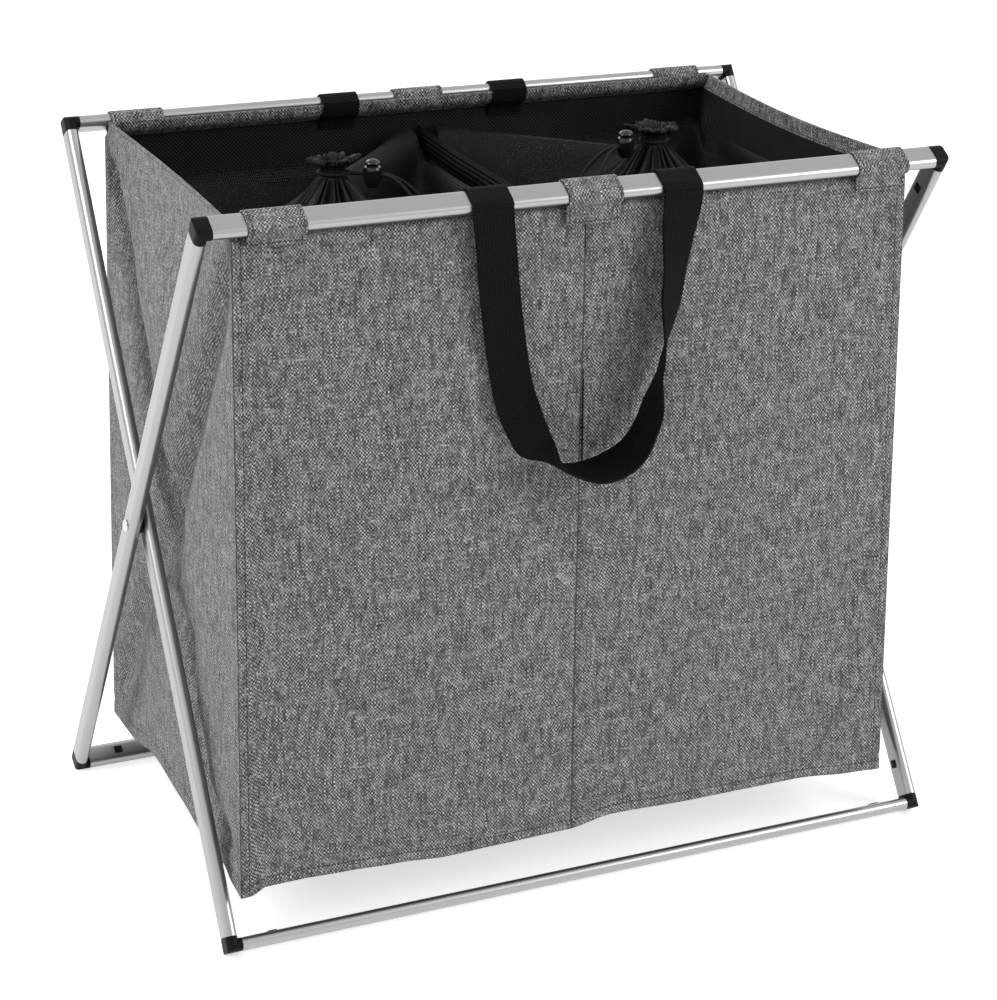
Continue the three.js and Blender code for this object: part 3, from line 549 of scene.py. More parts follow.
# %% Grid helper
def formed_grid(columns, rows, place, flat, edges):
    """columns and rows are lists of positions; place, flat and edges take one of each."""
    bm = bmesh.new()
    bm.loops.layers.uv.new("cloth")
    across, up = len(columns) - 1, len(rows) - 1
    bmesh.ops.create_grid(bm, x_segments=across, y_segments=up, size=0.5, calc_uvs=True)
    edge_map = bm.loops.layers.uv.new("edges")
    cloth_map = bm.loops.layers.uv["cloth"]

    def station(share, line):
        return line[round(share * (len(line) - 1))]

    for face in bm.faces:
        for loop in face.loops:
            at = loop[cloth_map].uv
            u, v = station(at[0], columns), station(at[1], rows)
            loop[cloth_map].uv = flat(u, v)
            loop[edge_map].uv = edges(u, v)
    for vert in bm.verts:
        u, v = station(vert.co.x + 0.5, columns), station(vert.co.y + 0.5, rows)
        vert.co = Vector(place(u, v)) * MM
    return bm


def finished_piece(bm, name, finishes, thickness, offset=0.0, even=True):
    """even is off for cloth that folds up with the frame, because sharp folds would grow spikes."""
    mesh = bpy.data.meshes.new(name)
    bm.to_mesh(mesh)
    bm.free()
    for finish in finishes:
        mesh.materials.append(FINISH[finish])
    mesh.polygons.foreach_set("use_smooth", [True] * len(mesh.polygons))
    piece = add_object(name, mesh)
    wall = piece.modifiers.new("cloth thickness", "SOLIDIFY")
    wall.thickness, wall.offset, wall.use_even_offset = thickness * MM, offset, even
    wall.material_offset, wall.material_offset_rim = len(finishes) - 1, 0
    return piece


def even_line(start, end, spacing, extras=()):
    steps = max(round((end - start) / spacing), 1)
    line = [lerp(start, end, i / steps) for i in range(steps + 1)]
    kept = [x for x in line[1:-1] if all(abs(x - extra) > spacing * 0.45 for extra in extras)]
    return sorted({start, end, *extras, *kept})


# %% [markdown]
# ## The bag
# The bag is one lofted shell: a ring of four walls that narrows a little towards the top, closed by a
# bottom that droops between its corners. Five separate plates would be simpler but would show gaps
# where the real walls are sewn to each other. The front and rear swell a little over each bin. The
# sides fall in along the creases that they fold along, which run from corner to corner.

# %% Bag form
BAG_WIDTH, BAG_TAPER, TOP_SHIFT, SEAM_DRIFT = 566.0, 11.0, 3.5, 5.0
HALF_DEPTH = -PANEL_Y
SIDE_CUT = 2 * HALF_DEPTH
FRONT_HEM = [
    (0, 0), (0.014, 0.4), (0.037, 6.2), (0.09, 6.6), (0.147, 5.6), (0.233, 3.6), (0.307, 0.6),
    (0.382, 1.6), (0.493, 2.6), (0.565, 8.6), (0.694, 6.6), (0.857, 6.6), (0.96, 1.6), (1, 0),
]
SIDE_HEM = [
    (0, 0), (0.08, 1), (0.16, 2), (0.36, 15), (0.57, 11), (0.7, 7), (0.88, 8), (0.94, 2), (1, 0),
]


def skew(y, h):
    return (FRAME_SHIFT + TOP_SHIFT * h) * y / HALF_DEPTH


def arch(share):
    return math.sin(math.pi * share)


def wave(share):
    return math.sin(2 * math.pi * share) ** 2


def bottom_edge(share):
    return BAG_BOTTOM + share_at(FRONT_HEM, share)


def tucked(up):
    """How far in and up the cloth has gone past its plumb part, on its way behind the bar."""
    past = up - PLUMB
    for (a, near, low), (b, far, high) in zip(TUCK, TUCK[1:]):
        if past <= b:
            share = max((past - a) / (b - a), 0)
            return lerp(near, far, share), lerp(low, high, share)
    return TUCK[-1][1:]


def ripple(x, z, wide, tall, seed):
    return noise.noise(Vector((x / wide, z / tall, seed)))


def hump(away, width):
    return math.exp(-((away / width) ** 2))


def off_line(point, line):
    """The shortest way from a broken line to a point."""
    ways = []
    for a, b in zip(line, line[1:]):
        a, b = Vector(a), Vector(b)
        along = (b - a).normalized()
        share = min(max((point - a).dot(along), 0), (b - a).length)
        ways.append(point - a - along * share)
    return min(ways, key=lambda way: way.length)


# %% Folds in the front and rear
REAR_FOLDS = 900
FRONT_VALLEYS = [
    ([(-103, 556), (-101, 500), (-98, 462)], 2.6, 5), ([(40, 556), (47, 480), (53, 388)], 3.4, 7),
    ([(262, 556), (214, 480), (150, 430)], 2.4, 12), ([(-226, 556), (-214, 520), (-190, 470)], 1.8, 9),
    ([(-280, 500), (-262, 400), (-256, 300)], 1.8, 11), ([(268, 300), (236, 220), (226, 120)], 1.8, 14),
    ([(120, 556), (112, 500), (96, 440)], 1.6, 9), ([(-30, 300), (-60, 200), (-120, 110)], 1.5, 16),
]


def held_at(share, whole, seam, h, low, high):
    """Near a seam, the hem or the rim the cloth is held, so that its loose folds fade out there."""
    return smooth(min(share, 1 - share) * whole, 0, seam) * smooth(h, 0, low) * smooth(1 - h, 0, high)


def front_folds(x, z, h, share):
    held = held_at(share, BAG_WIDTH, 26, h, 0.06, 0.05)
    swell = 3 * wave(share) * arch(h)
    loose = 2.0 * ripple(x, z, 150, 110, 3.1) + 0.9 * ripple(x, z, 48, 70, 8.4)
    valleys = 0
    for line, depth, width in FRONT_VALLEYS:
        valleys += depth * hump(off_line(Vector((x, z)), line).length, width)
    from_middle = abs(share - 0.5) * BAG_WIDTH
    seam = 1.1 * hump(from_middle, 1.8) + 0.9 * hump(from_middle, 10)
    pucker = 0.25 * ripple(z, 0, 7, 1, 5.0) * hump(from_middle, 8)
    sewn = (seam + pucker) * smooth(h, 0, 0.03) * smooth(1 - h, 0, 0.02)
    return swell + held * (loose - valleys) - sewn - 0.7 * hump(h * PLUMB - 8, 2)


# %% Creases in the sides
LEFT_CREASES = [
    ([(-150, 530), (-128, 488), (-63, 385), (10, 266)], 11, 9, 20),
    ([(172, 552), (150, 520), (93, 440), (59, 395), (14, 340), (-6, 312)], 15, 30, 7),
    ([(7, 262), (7, 228), (-46, 207), (-57, 158), (-91, 94), (-147, 80)], 11, 20, 9),
    ([(12, 262), (68, 204), (118, 150), (130, 118), (150, 96)], 9, 14, 14),
    ([(-120, 330), (-70, 300), (-20, 282)], 2.4, 12, 12),
    ([(120, 300), (70, 262), (20, 236)], 3, 12, 12),
]


DEEPEST_CREASE = 18


def crease_depth(y, z, line, depth, behind, ahead):
    """How deep a crease is here: it falls away over one width behind it and another one ahead."""
    off = off_line(Vector((y, z)), line)
    return depth * math.exp(-((off.length / (behind if off.x > 0 else ahead)) ** 1.5))


def side_folds(y, z, h, share, end):
    fold = abs(share - 0.5)
    diagonal = hump((abs(h - 0.5) - fold) * PLUMB, 46)
    broad = 12 * (arch(share) * arch(h)) * (0.5 * diagonal - (1 - 2 * fold) * 0.4)
    held = held_at(share, SIDE_CUT, 24, h, 0.05, 0.05)
    creases = sum(crease_depth(-end * y, z, *crease) for crease in LEFT_CREASES)
    creases = DEEPEST_CREASE * math.tanh(creases / DEEPEST_CREASE)
    loose = 2.2 * ripple(y, z, 90, 80, 1.7 + end) + 1.2 * ripple(y, z, 34, 42, 6.2 + end)
    rim_bow = 6 * arch(share) * smooth(h, 0.8, 1)
    return broad + held * (creases + loose) + rim_bow + 0.8 * hump(h * PLUMB - 12, 2)


# %% Bag surface
FRONT_LINE = even_line(0, BAG_WIDTH, 6.5, (2, 5, 9, 279, 281.5, 283, 284.5, 287, 557, 561, 564))
SIDE_LINE = even_line(0, SIDE_CUT, 5.5, (2, 5, SIDE_CUT - 5, SIDE_CUT - 2))
WALLS = [("front", BAG_WIDTH, FRONT_LINE), ("right", SIDE_CUT, SIDE_LINE)]
WALLS += [("rear", BAG_WIDTH, FRONT_LINE), ("left", SIDE_CUT, SIDE_LINE)]
AROUND = [(k, x) for k, (_, _, line) in enumerate(WALLS) for x in line[:-1]] + [(3, SIDE_CUT)]
UP = even_line(0, PLUMB, 6, (2, 5, 7, 9, 11, 13, PLUMB - 2)) + even_line(PLUMB, HEIGHT, 1.6)[1:]


def wall_point(station, up):
    wall, run = WALLS[station[0]], station[1]
    share, h = run / wall[1], min(up / PLUMB, 1)
    inset, rise = tucked(up)
    width = BAG_WIDTH - BAG_TAPER * h
    if wall[0] in ("front", "rear"):
        half = -1 if wall[0] == "front" else 1
        drift = SEAM_DRIFT * (1 - h) * arch(share)
        x = (share - 0.5) * width - FRAME_SHIFT - TOP_SHIFT * h - drift
        z = lerp(bottom_edge(share), PLUMB_TOP, h) + rise
        out = HALF_DEPTH - inset + front_folds(x if half < 0 else x + REAR_FOLDS, z, h, share)
        return (-half * x, half * out, z)
    end = 1 if wall[0] == "right" else -1
    across = end * lerp(-1, 1, share)
    y = across * (HALF_DEPTH - inset)
    z = lerp(BAG_BOTTOM + share_at(SIDE_HEM, share), PLUMB_TOP - 3 * arch(share), h) + rise
    x = end * width / 2 + skew(across * HALF_DEPTH, h) - end * side_folds(y, z, h, share, end)
    return (x, y, z)


def wall_flat(station, up):
    before = sum(WALLS[k][1] for k in range(station[0]))
    return (before + station[1], up)


def wall_edges(station, up):
    run, whole = station[1], WALLS[station[0]][1]
    deeper = 4.5 if station[0] % 2 and up < 40 else 0
    return (min(run, whole - run), HEIGHT - up + deeper)


# %% Bag bottom
def bottom_point(x, y):
    u, v = x / BAG_WIDTH, y / SIDE_CUT
    where = lerp(-HALF_DEPTH, HALF_DEPTH, v)
    left = share_at(SIDE_HEM, 1 - v) * (1 - smooth(u, 0, 0.35))
    right = share_at(SIDE_HEM, v) * (1 - smooth(1 - u, 0, 0.35))
    ripples = 2.2 * ripple(x, y, 110, 80, 4.4) * arch(v) * arch(u)
    z = lerp(bottom_edge(u), bottom_edge(1 - u), v) + left + right - 9 * wave(u) * arch(v) + ripples
    drift = lerp(-SEAM_DRIFT, SEAM_DRIFT, v) * arch(u)
    return ((u - 0.5) * BAG_WIDTH + skew(where, 0) + drift, where, z)


def make_bag():
    bm = formed_grid(AROUND, UP, wall_point, wall_flat, wall_edges)
    floor = formed_grid(
        FRONT_LINE, SIDE_LINE, bottom_point, lambda x, y: (x, -y - 5),
        lambda x, y: (min(x, BAG_WIDTH - x, y, SIDE_CUT - y) + 3, 400),
    )
    bmesh.ops.reverse_faces(floor, faces=floor.faces)
    part = bpy.data.meshes.new("bottom")
    floor.to_mesh(part)
    floor.free()
    bm.from_mesh(part)
    bpy.data.meshes.remove(part)
    bmesh.ops.remove_doubles(bm, verts=bm.verts, dist=0.0002)
    bmesh.ops.recalc_face_normals(bm, faces=bm.faces)
    open_edges = sum(e.is_boundary for e in bm.edges)
    print("bag faces:", len(bm.faces), "open edges round the rim:", open_edges)
    print("bag area", round(sum(face.calc_area() for face in bm.faces), 4), "square metres")
    return bm


bag = finished_piece(make_bag(), "bag", ["cloth", "lining"], 1.6, -1.0, even=False)
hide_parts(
    "front_panel_left", "front_panel_right", "rear_panel_left", "rear_panel_right",
    "left_side_panel", "right_side_panel", "bottom_panel",
)
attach(bag, "front_cloth")

# %% [markdown]
# ## How the bag folds
# When the frame folds, the rear bar comes close to the front bar and the cloth hangs plumb between
# them. Real cloth folds in along the side creases. Here each piece that spans both bars only gets a
# mesh of its own.


def folds_up(piece):
    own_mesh(piece)


folds_up(bag)

# %% [markdown]
# ## Dividing wall
# The wall between the bins is the lining cloth again, doubled, with a wide bound band along its top.
# It is sewn to the front and rear seams and to the bottom.

# %% Divider
DIVIDER_TOP, DIVIDER_FOOT = BAG_TOP - 16, BAG_BOTTOM + 2.6
DIVIDER_HALF, DIVIDER_SWAY = 0.8, 6
DIVIDER_LINE = even_line(0, 2 * (HALF_DEPTH - 2), 6)
DIVIDER_DEPTH = DIVIDER_LINE[-1]


def divider_middle(run, z):
    share = run / DIVIDER_DEPTH
    y = lerp(-DIVIDER_DEPTH / 2, DIVIDER_DEPTH / 2, share)
    h = (z - BAG_BOTTOM) / HEIGHT
    up = (z - DIVIDER_FOOT) / (DIVIDER_TOP - DIVIDER_FOOT)
    sway = DIVIDER_SWAY * math.sin(2 * math.pi * share) * arch(min(max(up, 0), 1))
    loose = 1.2 * ripple(y, z, 60, 90, 2.2) * arch(share)
    sag = 4 * arch(share) * max(up, 0)
    return skew(y, h) + sway + loose, y, z - sag


def make_divider():
    rows = even_line(DIVIDER_FOOT, DIVIDER_TOP, 7)
    bm = formed_grid(
        DIVIDER_LINE, rows, divider_middle,
        lambda run, z: (run, z), lambda run, z: (100, DIVIDER_TOP - z),
    )
    wall = finished_piece(bm, "divider_wall", ["wall"], 1.2, even=False)
    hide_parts("divider")
    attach(wall, "front_cloth")
    folds_up(wall)


def make_divider_band():
    drop, half = 20, 1.1
    side = [(half, -1), (half, -drop / 2), (half, -drop)]
    profile = [(-out, down) for out, down in reversed(side)] + [(0, 0.6)] + side

    def place(run, k):
        x, y, z = divider_middle(run, DIVIDER_TOP)
        out, down = profile[k]
        return x + out, y, z + down

    bm = formed_grid(
        DIVIDER_LINE, list(range(len(profile))), place,
        lambda run, k: (run, 3.4 * k), lambda run, k: (100, 3.4 * k),
    )
    strip = finished_piece(bm, "divider_band", ["webbing"], 0.7, even=False)
    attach(strip, "front_cloth")
    folds_up(strip)


make_divider()
make_divider_band()

# %% [markdown]
# ## Strips over the bars
# The tabs and the handles' ends lie round the flat oval bar: straight up, round one rounded edge,
# across the flat, round the other edge and down. The path is worked out once from the bar's section,
# and every strip is a grid that follows it.

# %% Path over a bar
WRAP, SEAT, BEND = 0.5, 0.3, 10


def touch_angle(centre, radius, point, turn):
    away = point - centre
    return math.atan2(away.y, away.x) + turn * math.acos(radius / away.length)


def over_bar(inner, outer, thickness):
    radius = EDGE_RADIUS + WRAP + thickness / 2
    rear = Vector((math.cos(LEAN), math.sin(LEAN))) * EDGE_OFFSET
    front = -rear
    top = math.pi / 2 + LEAN
    first = touch_angle(rear, radius, inner[-1], 1)
    first = first - 2 * math.pi if first > math.pi else first
    last = touch_angle(front, radius, outer[0], -1) % (2 * math.pi)
    line = list(inner)
    for centre, start, end in ((rear, first, top), (front, top, last)):
        for i in range(BEND + 1):
            turn = lerp(start, end, i / BEND)
            line.append(centre + radius * Vector((math.cos(turn), math.sin(turn))))
    return line + list(outer)


def close_line(line, spacing):
    """The same path with more points on its long straight stretches, and its running length."""
    path, lengths = [line[0]], [0.0]
    for a, b in zip(line, line[1:]):
        span = (b - a).length
        if span < 1e-6:
            continue
        steps = max(math.ceil(span / spacing), 1)
        for i in range(1, steps + 1):
            path.append(a.lerp(b, i / steps))
            lengths.append(lengths[-1] + span / steps)
    return path, lengths


# %% Strip helper
def strip_over_bar(name, finish, slot, side, middle, width, line, thickness, sway=0.0):
    """side is -1 for the front bar and 1 for the rear one."""
    path, lengths = close_line(line, 2.5)
    whole = lengths[-1]
    across = even_line(-width / 2, width / 2, 4, (-width / 2 + 1, width / 2 - 1))

    def place(x, k):
        point = path[k]
        hang = smooth(lengths[k], whole * 0.55, whole)
        lift = sway * ripple(x, lengths[k], 18, 12, middle) * hang
        at = (middle + x, BAR_Y + point.x - abs(lift), BAR_TOP + point.y)
        return at if side < 0 else (-at[0], -at[1], at[2])

    bm = formed_grid(
        across, list(range(len(path))), place, lambda x, k: (x + middle + 40, lengths[k]),
        lambda x, k: (width / 2 - abs(x), whole - lengths[k]),
    )
    bmesh.ops.reverse_faces(bm, faces=bm.faces)
    piece = finished_piece(bm, name, [finish], thickness)
    soft = piece.modifiers.new("soft edges", "BEVEL")
    soft.width, soft.segments, soft.limit_method = 0.25 * MM, 2, "ANGLE"
    return piece, whole


# %% [markdown]
# ## Tabs
# Three tabs on each side close over the bar with hook tape. Their flaps differ a little in length,
# as pressed down by hand.

# %% Tabs and hook tape
TAB_WIDTH, TAB_CLOTH, TAB_INSET, HOOK_TAPE = 44, 1.4, 28.5, 1
TAB_START, TAB_DROPS = (10.45, 1.0), [16, 24, 21]
TOP_DROP = BAR_TOP - BAG_TOP


def turns_with_bar(strip):
    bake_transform(strip)


def make_tabs(side, word):
    outside = -1 - CLOTH / 2 - SEAT - HOOK_TAPE - SEAT - TAB_CLOTH / 2
    lengths = []
    for i, end in enumerate(("left", "middle", "right")[::-side]):
        x = (i - 1) * ((BAG_WIDTH - BAG_TAPER) / 2 - TAB_INSET) - FRAME_SHIFT
        outer = [Vector((outside, -TOP_DROP)), Vector((outside, -TAB_DROPS[i]))]
        line = over_bar([Vector(TAB_START)], outer, TAB_CLOTH)
        name = f"{word}_tab_{end}"
        tab, length = strip_over_bar(
            name + "_cloth", "tab", "cloth", side, x, TAB_WIDTH, line, TAB_CLOTH, 0.5,
        )
        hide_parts(name)
        turns_with_bar(tab)
        softened(f"{word}_hook_strip_{end}", "hook", 0.15)
        lengths.append(round(length, 1))
    print(word, "tab lengths", lengths)


make_tabs(-1, "front")
make_tabs(1, "rear")

# %% [markdown]
# ## Handles
# A handle is one length of webbing: sewn inside the hem, over the bar and down into a long loop that
# rolls over at the bottom. The loop follows the same line as its solid, and rolls by the same share
# of its length, so that it swings clear of the cloth. Each end is made in two pieces: the strap over
# the bar, and the sewn end, which stays with the cloth.

# %% Handle line
HANDLE_WIDTH, WEBBING, SPAN, SHIFT, DROP = 32, 1.8, 156, -6, 212
TWIST, FOLD_ROOM = math.radians(110), 3.5
HANDLE_SHARES = [
    (0, 0), (0, 0.03), (0.03, 0.19), (0.065, 0.41), (0.11, 0.63), (0.165, 0.8), (0.255, 0.925),
    (0.41, 0.99), (0.57, 1), (0.72, 0.95), (0.81, 0.84), (0.85, 0.73), (0.89, 0.59), (0.93, 0.43),
    (0.96, 0.26), (0.99, 0.1), (1, 0.03), (1, 0),
]
ROLL_SHARES = [
    (0, 0), (0.28, 0.02), (0.38, 0.35), (0.44, 0.8), (0.54, 1), (0.64, 0.85), (0.72, 0.6),
    (0.85, 0.3), (1, 0),
]
STRAP_OUT = TUBE_WIDTH / 2 + WRAP + WEBBING / 2
STRAP_EDGE = EDGE_OFFSET * math.sin(LEAN)


def knot_spans(points):
    return [max((b - a).length ** 0.5, 1e-6) for a, b in zip(points, points[1:])]


def through_points(points, steps):
    """A smooth curve through all the points, at even steps along its length."""
    guide = [2 * points[0] - points[1], *points, 2 * points[-1] - points[-2]]
    dense = []
    for i in range(1, len(guide) - 2):
        p = guide[i - 1:i + 3]
        t = knot_spans(p)
        slope_a = (p[1] - p[0]) / t[0] - (p[2] - p[0]) / (t[0] + t[1]) + (p[2] - p[1]) / t[1]
        slope_b = (p[2] - p[1]) / t[1] - (p[3] - p[1]) / (t[1] + t[2]) + (p[3] - p[2]) / t[2]
        a, b = slope_a * t[1], slope_b * t[1]
        for k in range(24):
            s = k / 24
            bend = (2 * s ** 3 - 3 * s ** 2 + 1) * p[1] + (s ** 3 - 2 * s ** 2 + s) * a
            dense.append(bend + (3 * s ** 2 - 2 * s ** 3) * p[2] + (s ** 3 - s ** 2) * b)
    dense.append(points[-1].copy())
    lengths = [0.0]
    for a, b in zip(dense, dense[1:]):
        lengths.append(lengths[-1] + (b - a).length)
    even, j = [], 0
    for i in range(steps + 1):
        want = lengths[-1] * i / steps
        while j < len(lengths) - 2 and lengths[j + 1] < want:
            j += 1
        gap = max(lengths[j + 1] - lengths[j], 1e-9)
        even.append(dense[j].lerp(dense[j + 1], min((want - lengths[j]) / gap, 1)))
    return even, lengths[-1]


# %% Handle loop
RIBBON_STEPS = 160


def handle_sections():
    top = BAR_TOP - STRAP_EDGE
    left = -SPAN / 2 + SHIFT - FRAME_SHIFT
    reach = DROP - STRAP_EDGE
    points = [Vector((left + a * SPAN, 0, top - SEAT - d * reach)) for a, d in HANDLE_SHARES]
    path, length = through_points(points, RIBBON_STEPS)
    resting = BAR_Y - PANEL_Y + CLOTH / 2 + FOLD_ROOM
    sections = []
    for i, middle in enumerate(path):
        share = i / RIBBON_STEPS
        before, after = path[max(i - 1, 0)], path[min(i + 1, RIBBON_STEPS)]
        tangent = (after - before).normalized()
        outward = Vector((tangent.z, 0, -tangent.x))
        roll = TWIST * share_at(ROLL_SHARES, share)
        drop = (top - middle.z) / DROP
        reach = abs(math.sin(roll)) * HANDLE_WIDTH / 2
        hanging = resting + reach + abs(math.cos(roll)) * WEBBING / 2
        away = lerp(STRAP_OUT, hanging, smooth(drop, 0, 0.3))
        y = BAR_Y - (max(away, hanging) if reach else away)
        face = Vector((0, -math.cos(roll), 0)) + outward * math.sin(roll)
        across = tangent.cross(face).normalized()
        sections.append((Vector((middle.x, y, middle.z)), across))
    return sections, length


def make_handle(side, word):
    sections, length = handle_sections()
    half = HANDLE_WIDTH / 2
    across = even_line(-half, half, 5, (-half + 1, half - 1))

    def place(x, k):
        at = sections[k][0] + sections[k][1] * x
        return tuple(at) if side < 0 else (-at.x, -at.y, at.z)

    step = length / RIBBON_STEPS
    bm = formed_grid(
        across, list(range(RIBBON_STEPS + 1)), place,
        lambda x, k: (x + half, k * step), lambda x, k: (half - abs(x), 100),
    )
    loop = finished_piece(bm, f"{word}_handle_loop", ["webbing"], WEBBING)
    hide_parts(f"{word}_handle")
    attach(loop, f"{word}_handle")
    return length


# %% Handle ends
SEWN_LINE = [
    (1.65, -20.7), (1.65, -14.8), (2.5, -13), (6.1, -10.5), (10.4, -7.5), (12.75, -3.7),
    (13.65, 0), (13.65, 3.2),
]


def make_handle_ends(side, word):
    sewn = [Vector(point) for point in SEWN_LINE]
    outer = [Vector((-STRAP_OUT, 2 - STRAP_EDGE)), Vector((-STRAP_OUT, -STRAP_EDGE - SEAT))]
    over = over_bar(sewn[-1:], outer, WEBBING)
    for x, end in zip((-SPAN / 2, SPAN / 2), ("left", "right")[::-side]):
        node = f"{word}_handle_end_{end}"
        strip = ("webbing", "webbing", side, x + SHIFT - FRAME_SHIFT, HANDLE_WIDTH)
        strap, length = strip_over_bar(node + "_strap", *strip, over, WEBBING)
        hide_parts(node)
        turns_with_bar(strap)
        tail, length = strip_over_bar(node + "_sewn", *strip, sewn, WEBBING)
        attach(tail, f"{word}_cloth")


for side, word in ((-1, "front"), (1, "rear")):
    make_handle_ends(side, word)
    print(word, "handle loop", round(make_handle(side, word), 1), "mm")

# %% [markdown]
# ## Net covers
# Each bin has a cover of black net, sewn round below the hem and gathered to a neck by a drawcord, so
# it sags and falls into pleats that all run to the neck. Above the cord the edge opens into a ruffled
# collar. The form is the solid's own, with taut ridges and finer pleats.

# %% Net form
NET_RIM, NECK_LEVEL = BAG_TOP - 37, BAR_TOP - 24.7
HALF_TOP = (BAG_WIDTH - BAG_TAPER) / 2
NECKS = [(-0.44 * HALF_TOP, 0.25 * -BAR_Y), (0.62 * HALF_TOP, 0.305 * -BAR_Y)]
HEADINGS = [math.radians(-35), math.radians(-165)]
NECK_RADIUS, COLLAR_RADIUS, NET_SAG, RIDGE_LIFT, NET_HALF, NET_GAP = 9.5, 17, 52, 23, 0.55, 3.6
SKIRT_ROWS, NECK_ROWS, COLLAR_ROWS, NET_COLUMNS = 34, 4, 14, 208
NET_ROWS = SKIRT_ROWS + NECK_ROWS + COLLAR_ROWS
RIDGES = {
    -1: [(53.5, 9, 1.0), (126, 16, 0.35), (215, 15, 0.3), (300, 13, 0.4)],
    1: [(126.5, 10, 1.0), (56, 13, 0.75), (-40, 14, 0.35), (225, 13, 0.4)],
}


def tension(turn, end):
    """How taut the net is in this direction, from 0 in a slack part to 1 along a taut ridge."""
    pull = 0
    for heading, width, strength in RIDGES[end]:
        away = (math.degrees(turn) - heading + 180) % 360 - 180
        pull = max(pull, strength * hump(away, width))
    return pull


def gathered(row):
    """How closely the net is gathered, which closes its holes: least at the rim, most at the neck."""
    return 0.85 * smooth(row, 4, SKIRT_ROWS) - 0.35 * smooth(row, SKIRT_ROWS + NECK_ROWS, NET_ROWS)


def kept_inside(x, y, z):
    """The same place, moved in where a fold of the bag's walls stands further in than the net."""
    h = min((z - BAG_BOTTOM) / (PLUMB_TOP - BAG_BOTTOM), 1)
    width = BAG_WIDTH - BAG_TAPER * h
    for end in (-1, 1):
        share = min(max((end * y / HALF_DEPTH + 1) / 2, 0), 1)
        limit = width / 2 - side_folds(y, z, h, share, end) - NET_GAP
        if end * (x - skew(y, h)) > limit:
            x = end * limit + skew(y, h)
    for half in (-1, 1):
        local = -half * x
        share = min(max((local + FRAME_SHIFT + TOP_SHIFT * h) / width + 0.5, 0), 1)
        folds = front_folds(local if half < 0 else local + REAR_FOLDS, z, h, share)
        y = half * min(half * y, HALF_DEPTH + folds - NET_GAP)
    return x, y, z


def cover_point(neck, end, u, row):
    rim_height = (NET_RIM - BAG_BOTTOM) / HEIGHT
    inner = DIVIDER_HALF + DIVIDER_SWAY + SEAT
    outer = (BAG_WIDTH - BAG_TAPER * rim_height) / 2 - CLOTH - SEAT - 1.5
    half_width, half_depth = (outer - inner) / 2, HALF_DEPTH - CLOTH / 2 - SEAT - NET_HALF
    turn = 2 * math.pi * u
    c, s = math.cos(turn), math.sin(turn)
    size = (abs(c / half_width) ** 12 + abs(s / half_depth) ** 12) ** (-1 / 12)
    rim = Vector((end * (outer + inner) / 2 + size * c + skew(size * s, rim_height), size * s))
    skirt = min(row / SKIRT_ROWS, 1)
    rise = max(row - SKIRT_ROWS, 0)
    up_neck = min(rise / NECK_ROWS, 1)
    up_collar = max(rise - NECK_ROWS, 0) / COLLAR_ROWS
    flare = smooth(up_collar, 0, 1)
    wander = 1.3 * noise.noise(Vector((2.2 * c, 2.2 * s, neck[0])))
    broad = math.cos(7 * turn + 3 * wander)
    fine = math.cos(19 * turn + 7 * wander)
    crumple = noise.noise(Vector((2.1 * c, 2.1 * s, 9 + neck[0])))
    mouth = COLLAR_RADIUS * (1 + 0.8 * crumple) + 2.2 * broad
    radius = lerp(NECK_RADIUS, mouth, flare) + (1.2 * flare + 0.6 * (1 - flare) * up_neck) * fine
    ring = Vector((neck[0] + radius * c, neck[1] + radius * s))
    at = rim.lerp(ring, 1 - (1 - skirt) ** 1.15)
    pull = tension(turn, end)
    lift = arch(skirt)
    near_neck = smooth(skirt, 0.45, 0.9) * (1 - smooth(skirt, 0.97, 1))
    fold = (5 * broad * (1 - pull) + 2.2 * fine * smooth(skirt, 0.1, 0.8)) * lift
    fold += 3.4 * fine * near_neck
    drop = NET_SAG * (1 - 0.93 * pull) * arch(skirt ** 0.66)
    level = NET_RIM + RIDGE_LIFT * smooth(pull, 0.55, 1)
    base = NECK_LEVEL - 3
    if skirt < 1:
        return kept_inside(at.x, at.y, lerp(level, base, skirt ** 2) - drop + fold)
    curl = 10 * math.sin(2.3 * up_collar) - (2 - 6 * crumple) * up_collar ** 2
    return (at.x, at.y, base + 6 * up_neck + curl + 0.8 * fine * up_collar)


def make_cover(word, neck, end):
    around = [i / NET_COLUMNS for i in range(NET_COLUMNS + 1)]
    bm = formed_grid(
        around, list(range(NET_ROWS + 1)), lambda u, row: cover_point(neck, end, u, row),
        lambda u, row: (u * 1040, row * 6.5), lambda u, row: (gathered(row), 0),
    )
    bmesh.ops.remove_doubles(bm, verts=bm.verts, dist=0.00002)
    print(word, "net area", round(sum(face.calc_area() for face in bm.faces), 4), "square metres")
    cover = finished_piece(bm, f"{word}_cover", ["net"], 0.4, even=False)
    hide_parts(f"{word}_net_cover")
    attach(cover, "front_cloth")
    folds_up(cover)


make_cover("left", NECKS[0], -1)
make_cover("right", NECKS[1], 1)

# %% [markdown]
# ## Drawcords
# A drawcord runs round the neck and through the lock, and its doubled tail hangs down over the net.
# Both are round braid.

# %% Cord helper
CORD, STRAND, LOCK_HALF = 2.8, 1.6, 7.6
CORD_RING = NECK_RADIUS + NET_HALF + SEAT + CORD / 2
LOCK_REACH = 22 + 2.2 + LOCK_HALF + 2 * SEAT
TAIL_ROUTE = [
    (5.3, 1.6, 0), (12, 1.7, -0.4), (20, 3.4, -3.6), (28, 6.4, -9.6), (35, 9, -17), (42, 9.6, -24.4),
    (49, 7.6, -30.4), (53.4, 2.6, -33.6), (53.2, -3, -33.4), (48.8, -7.2, -30), (42, -9, -24),
    (35, -8.6, -16.6), (28, -6.2, -9.2), (20, -3.4, -3.4), (12, -1.7, -0.4), (5.3, -1.6, 0),
]


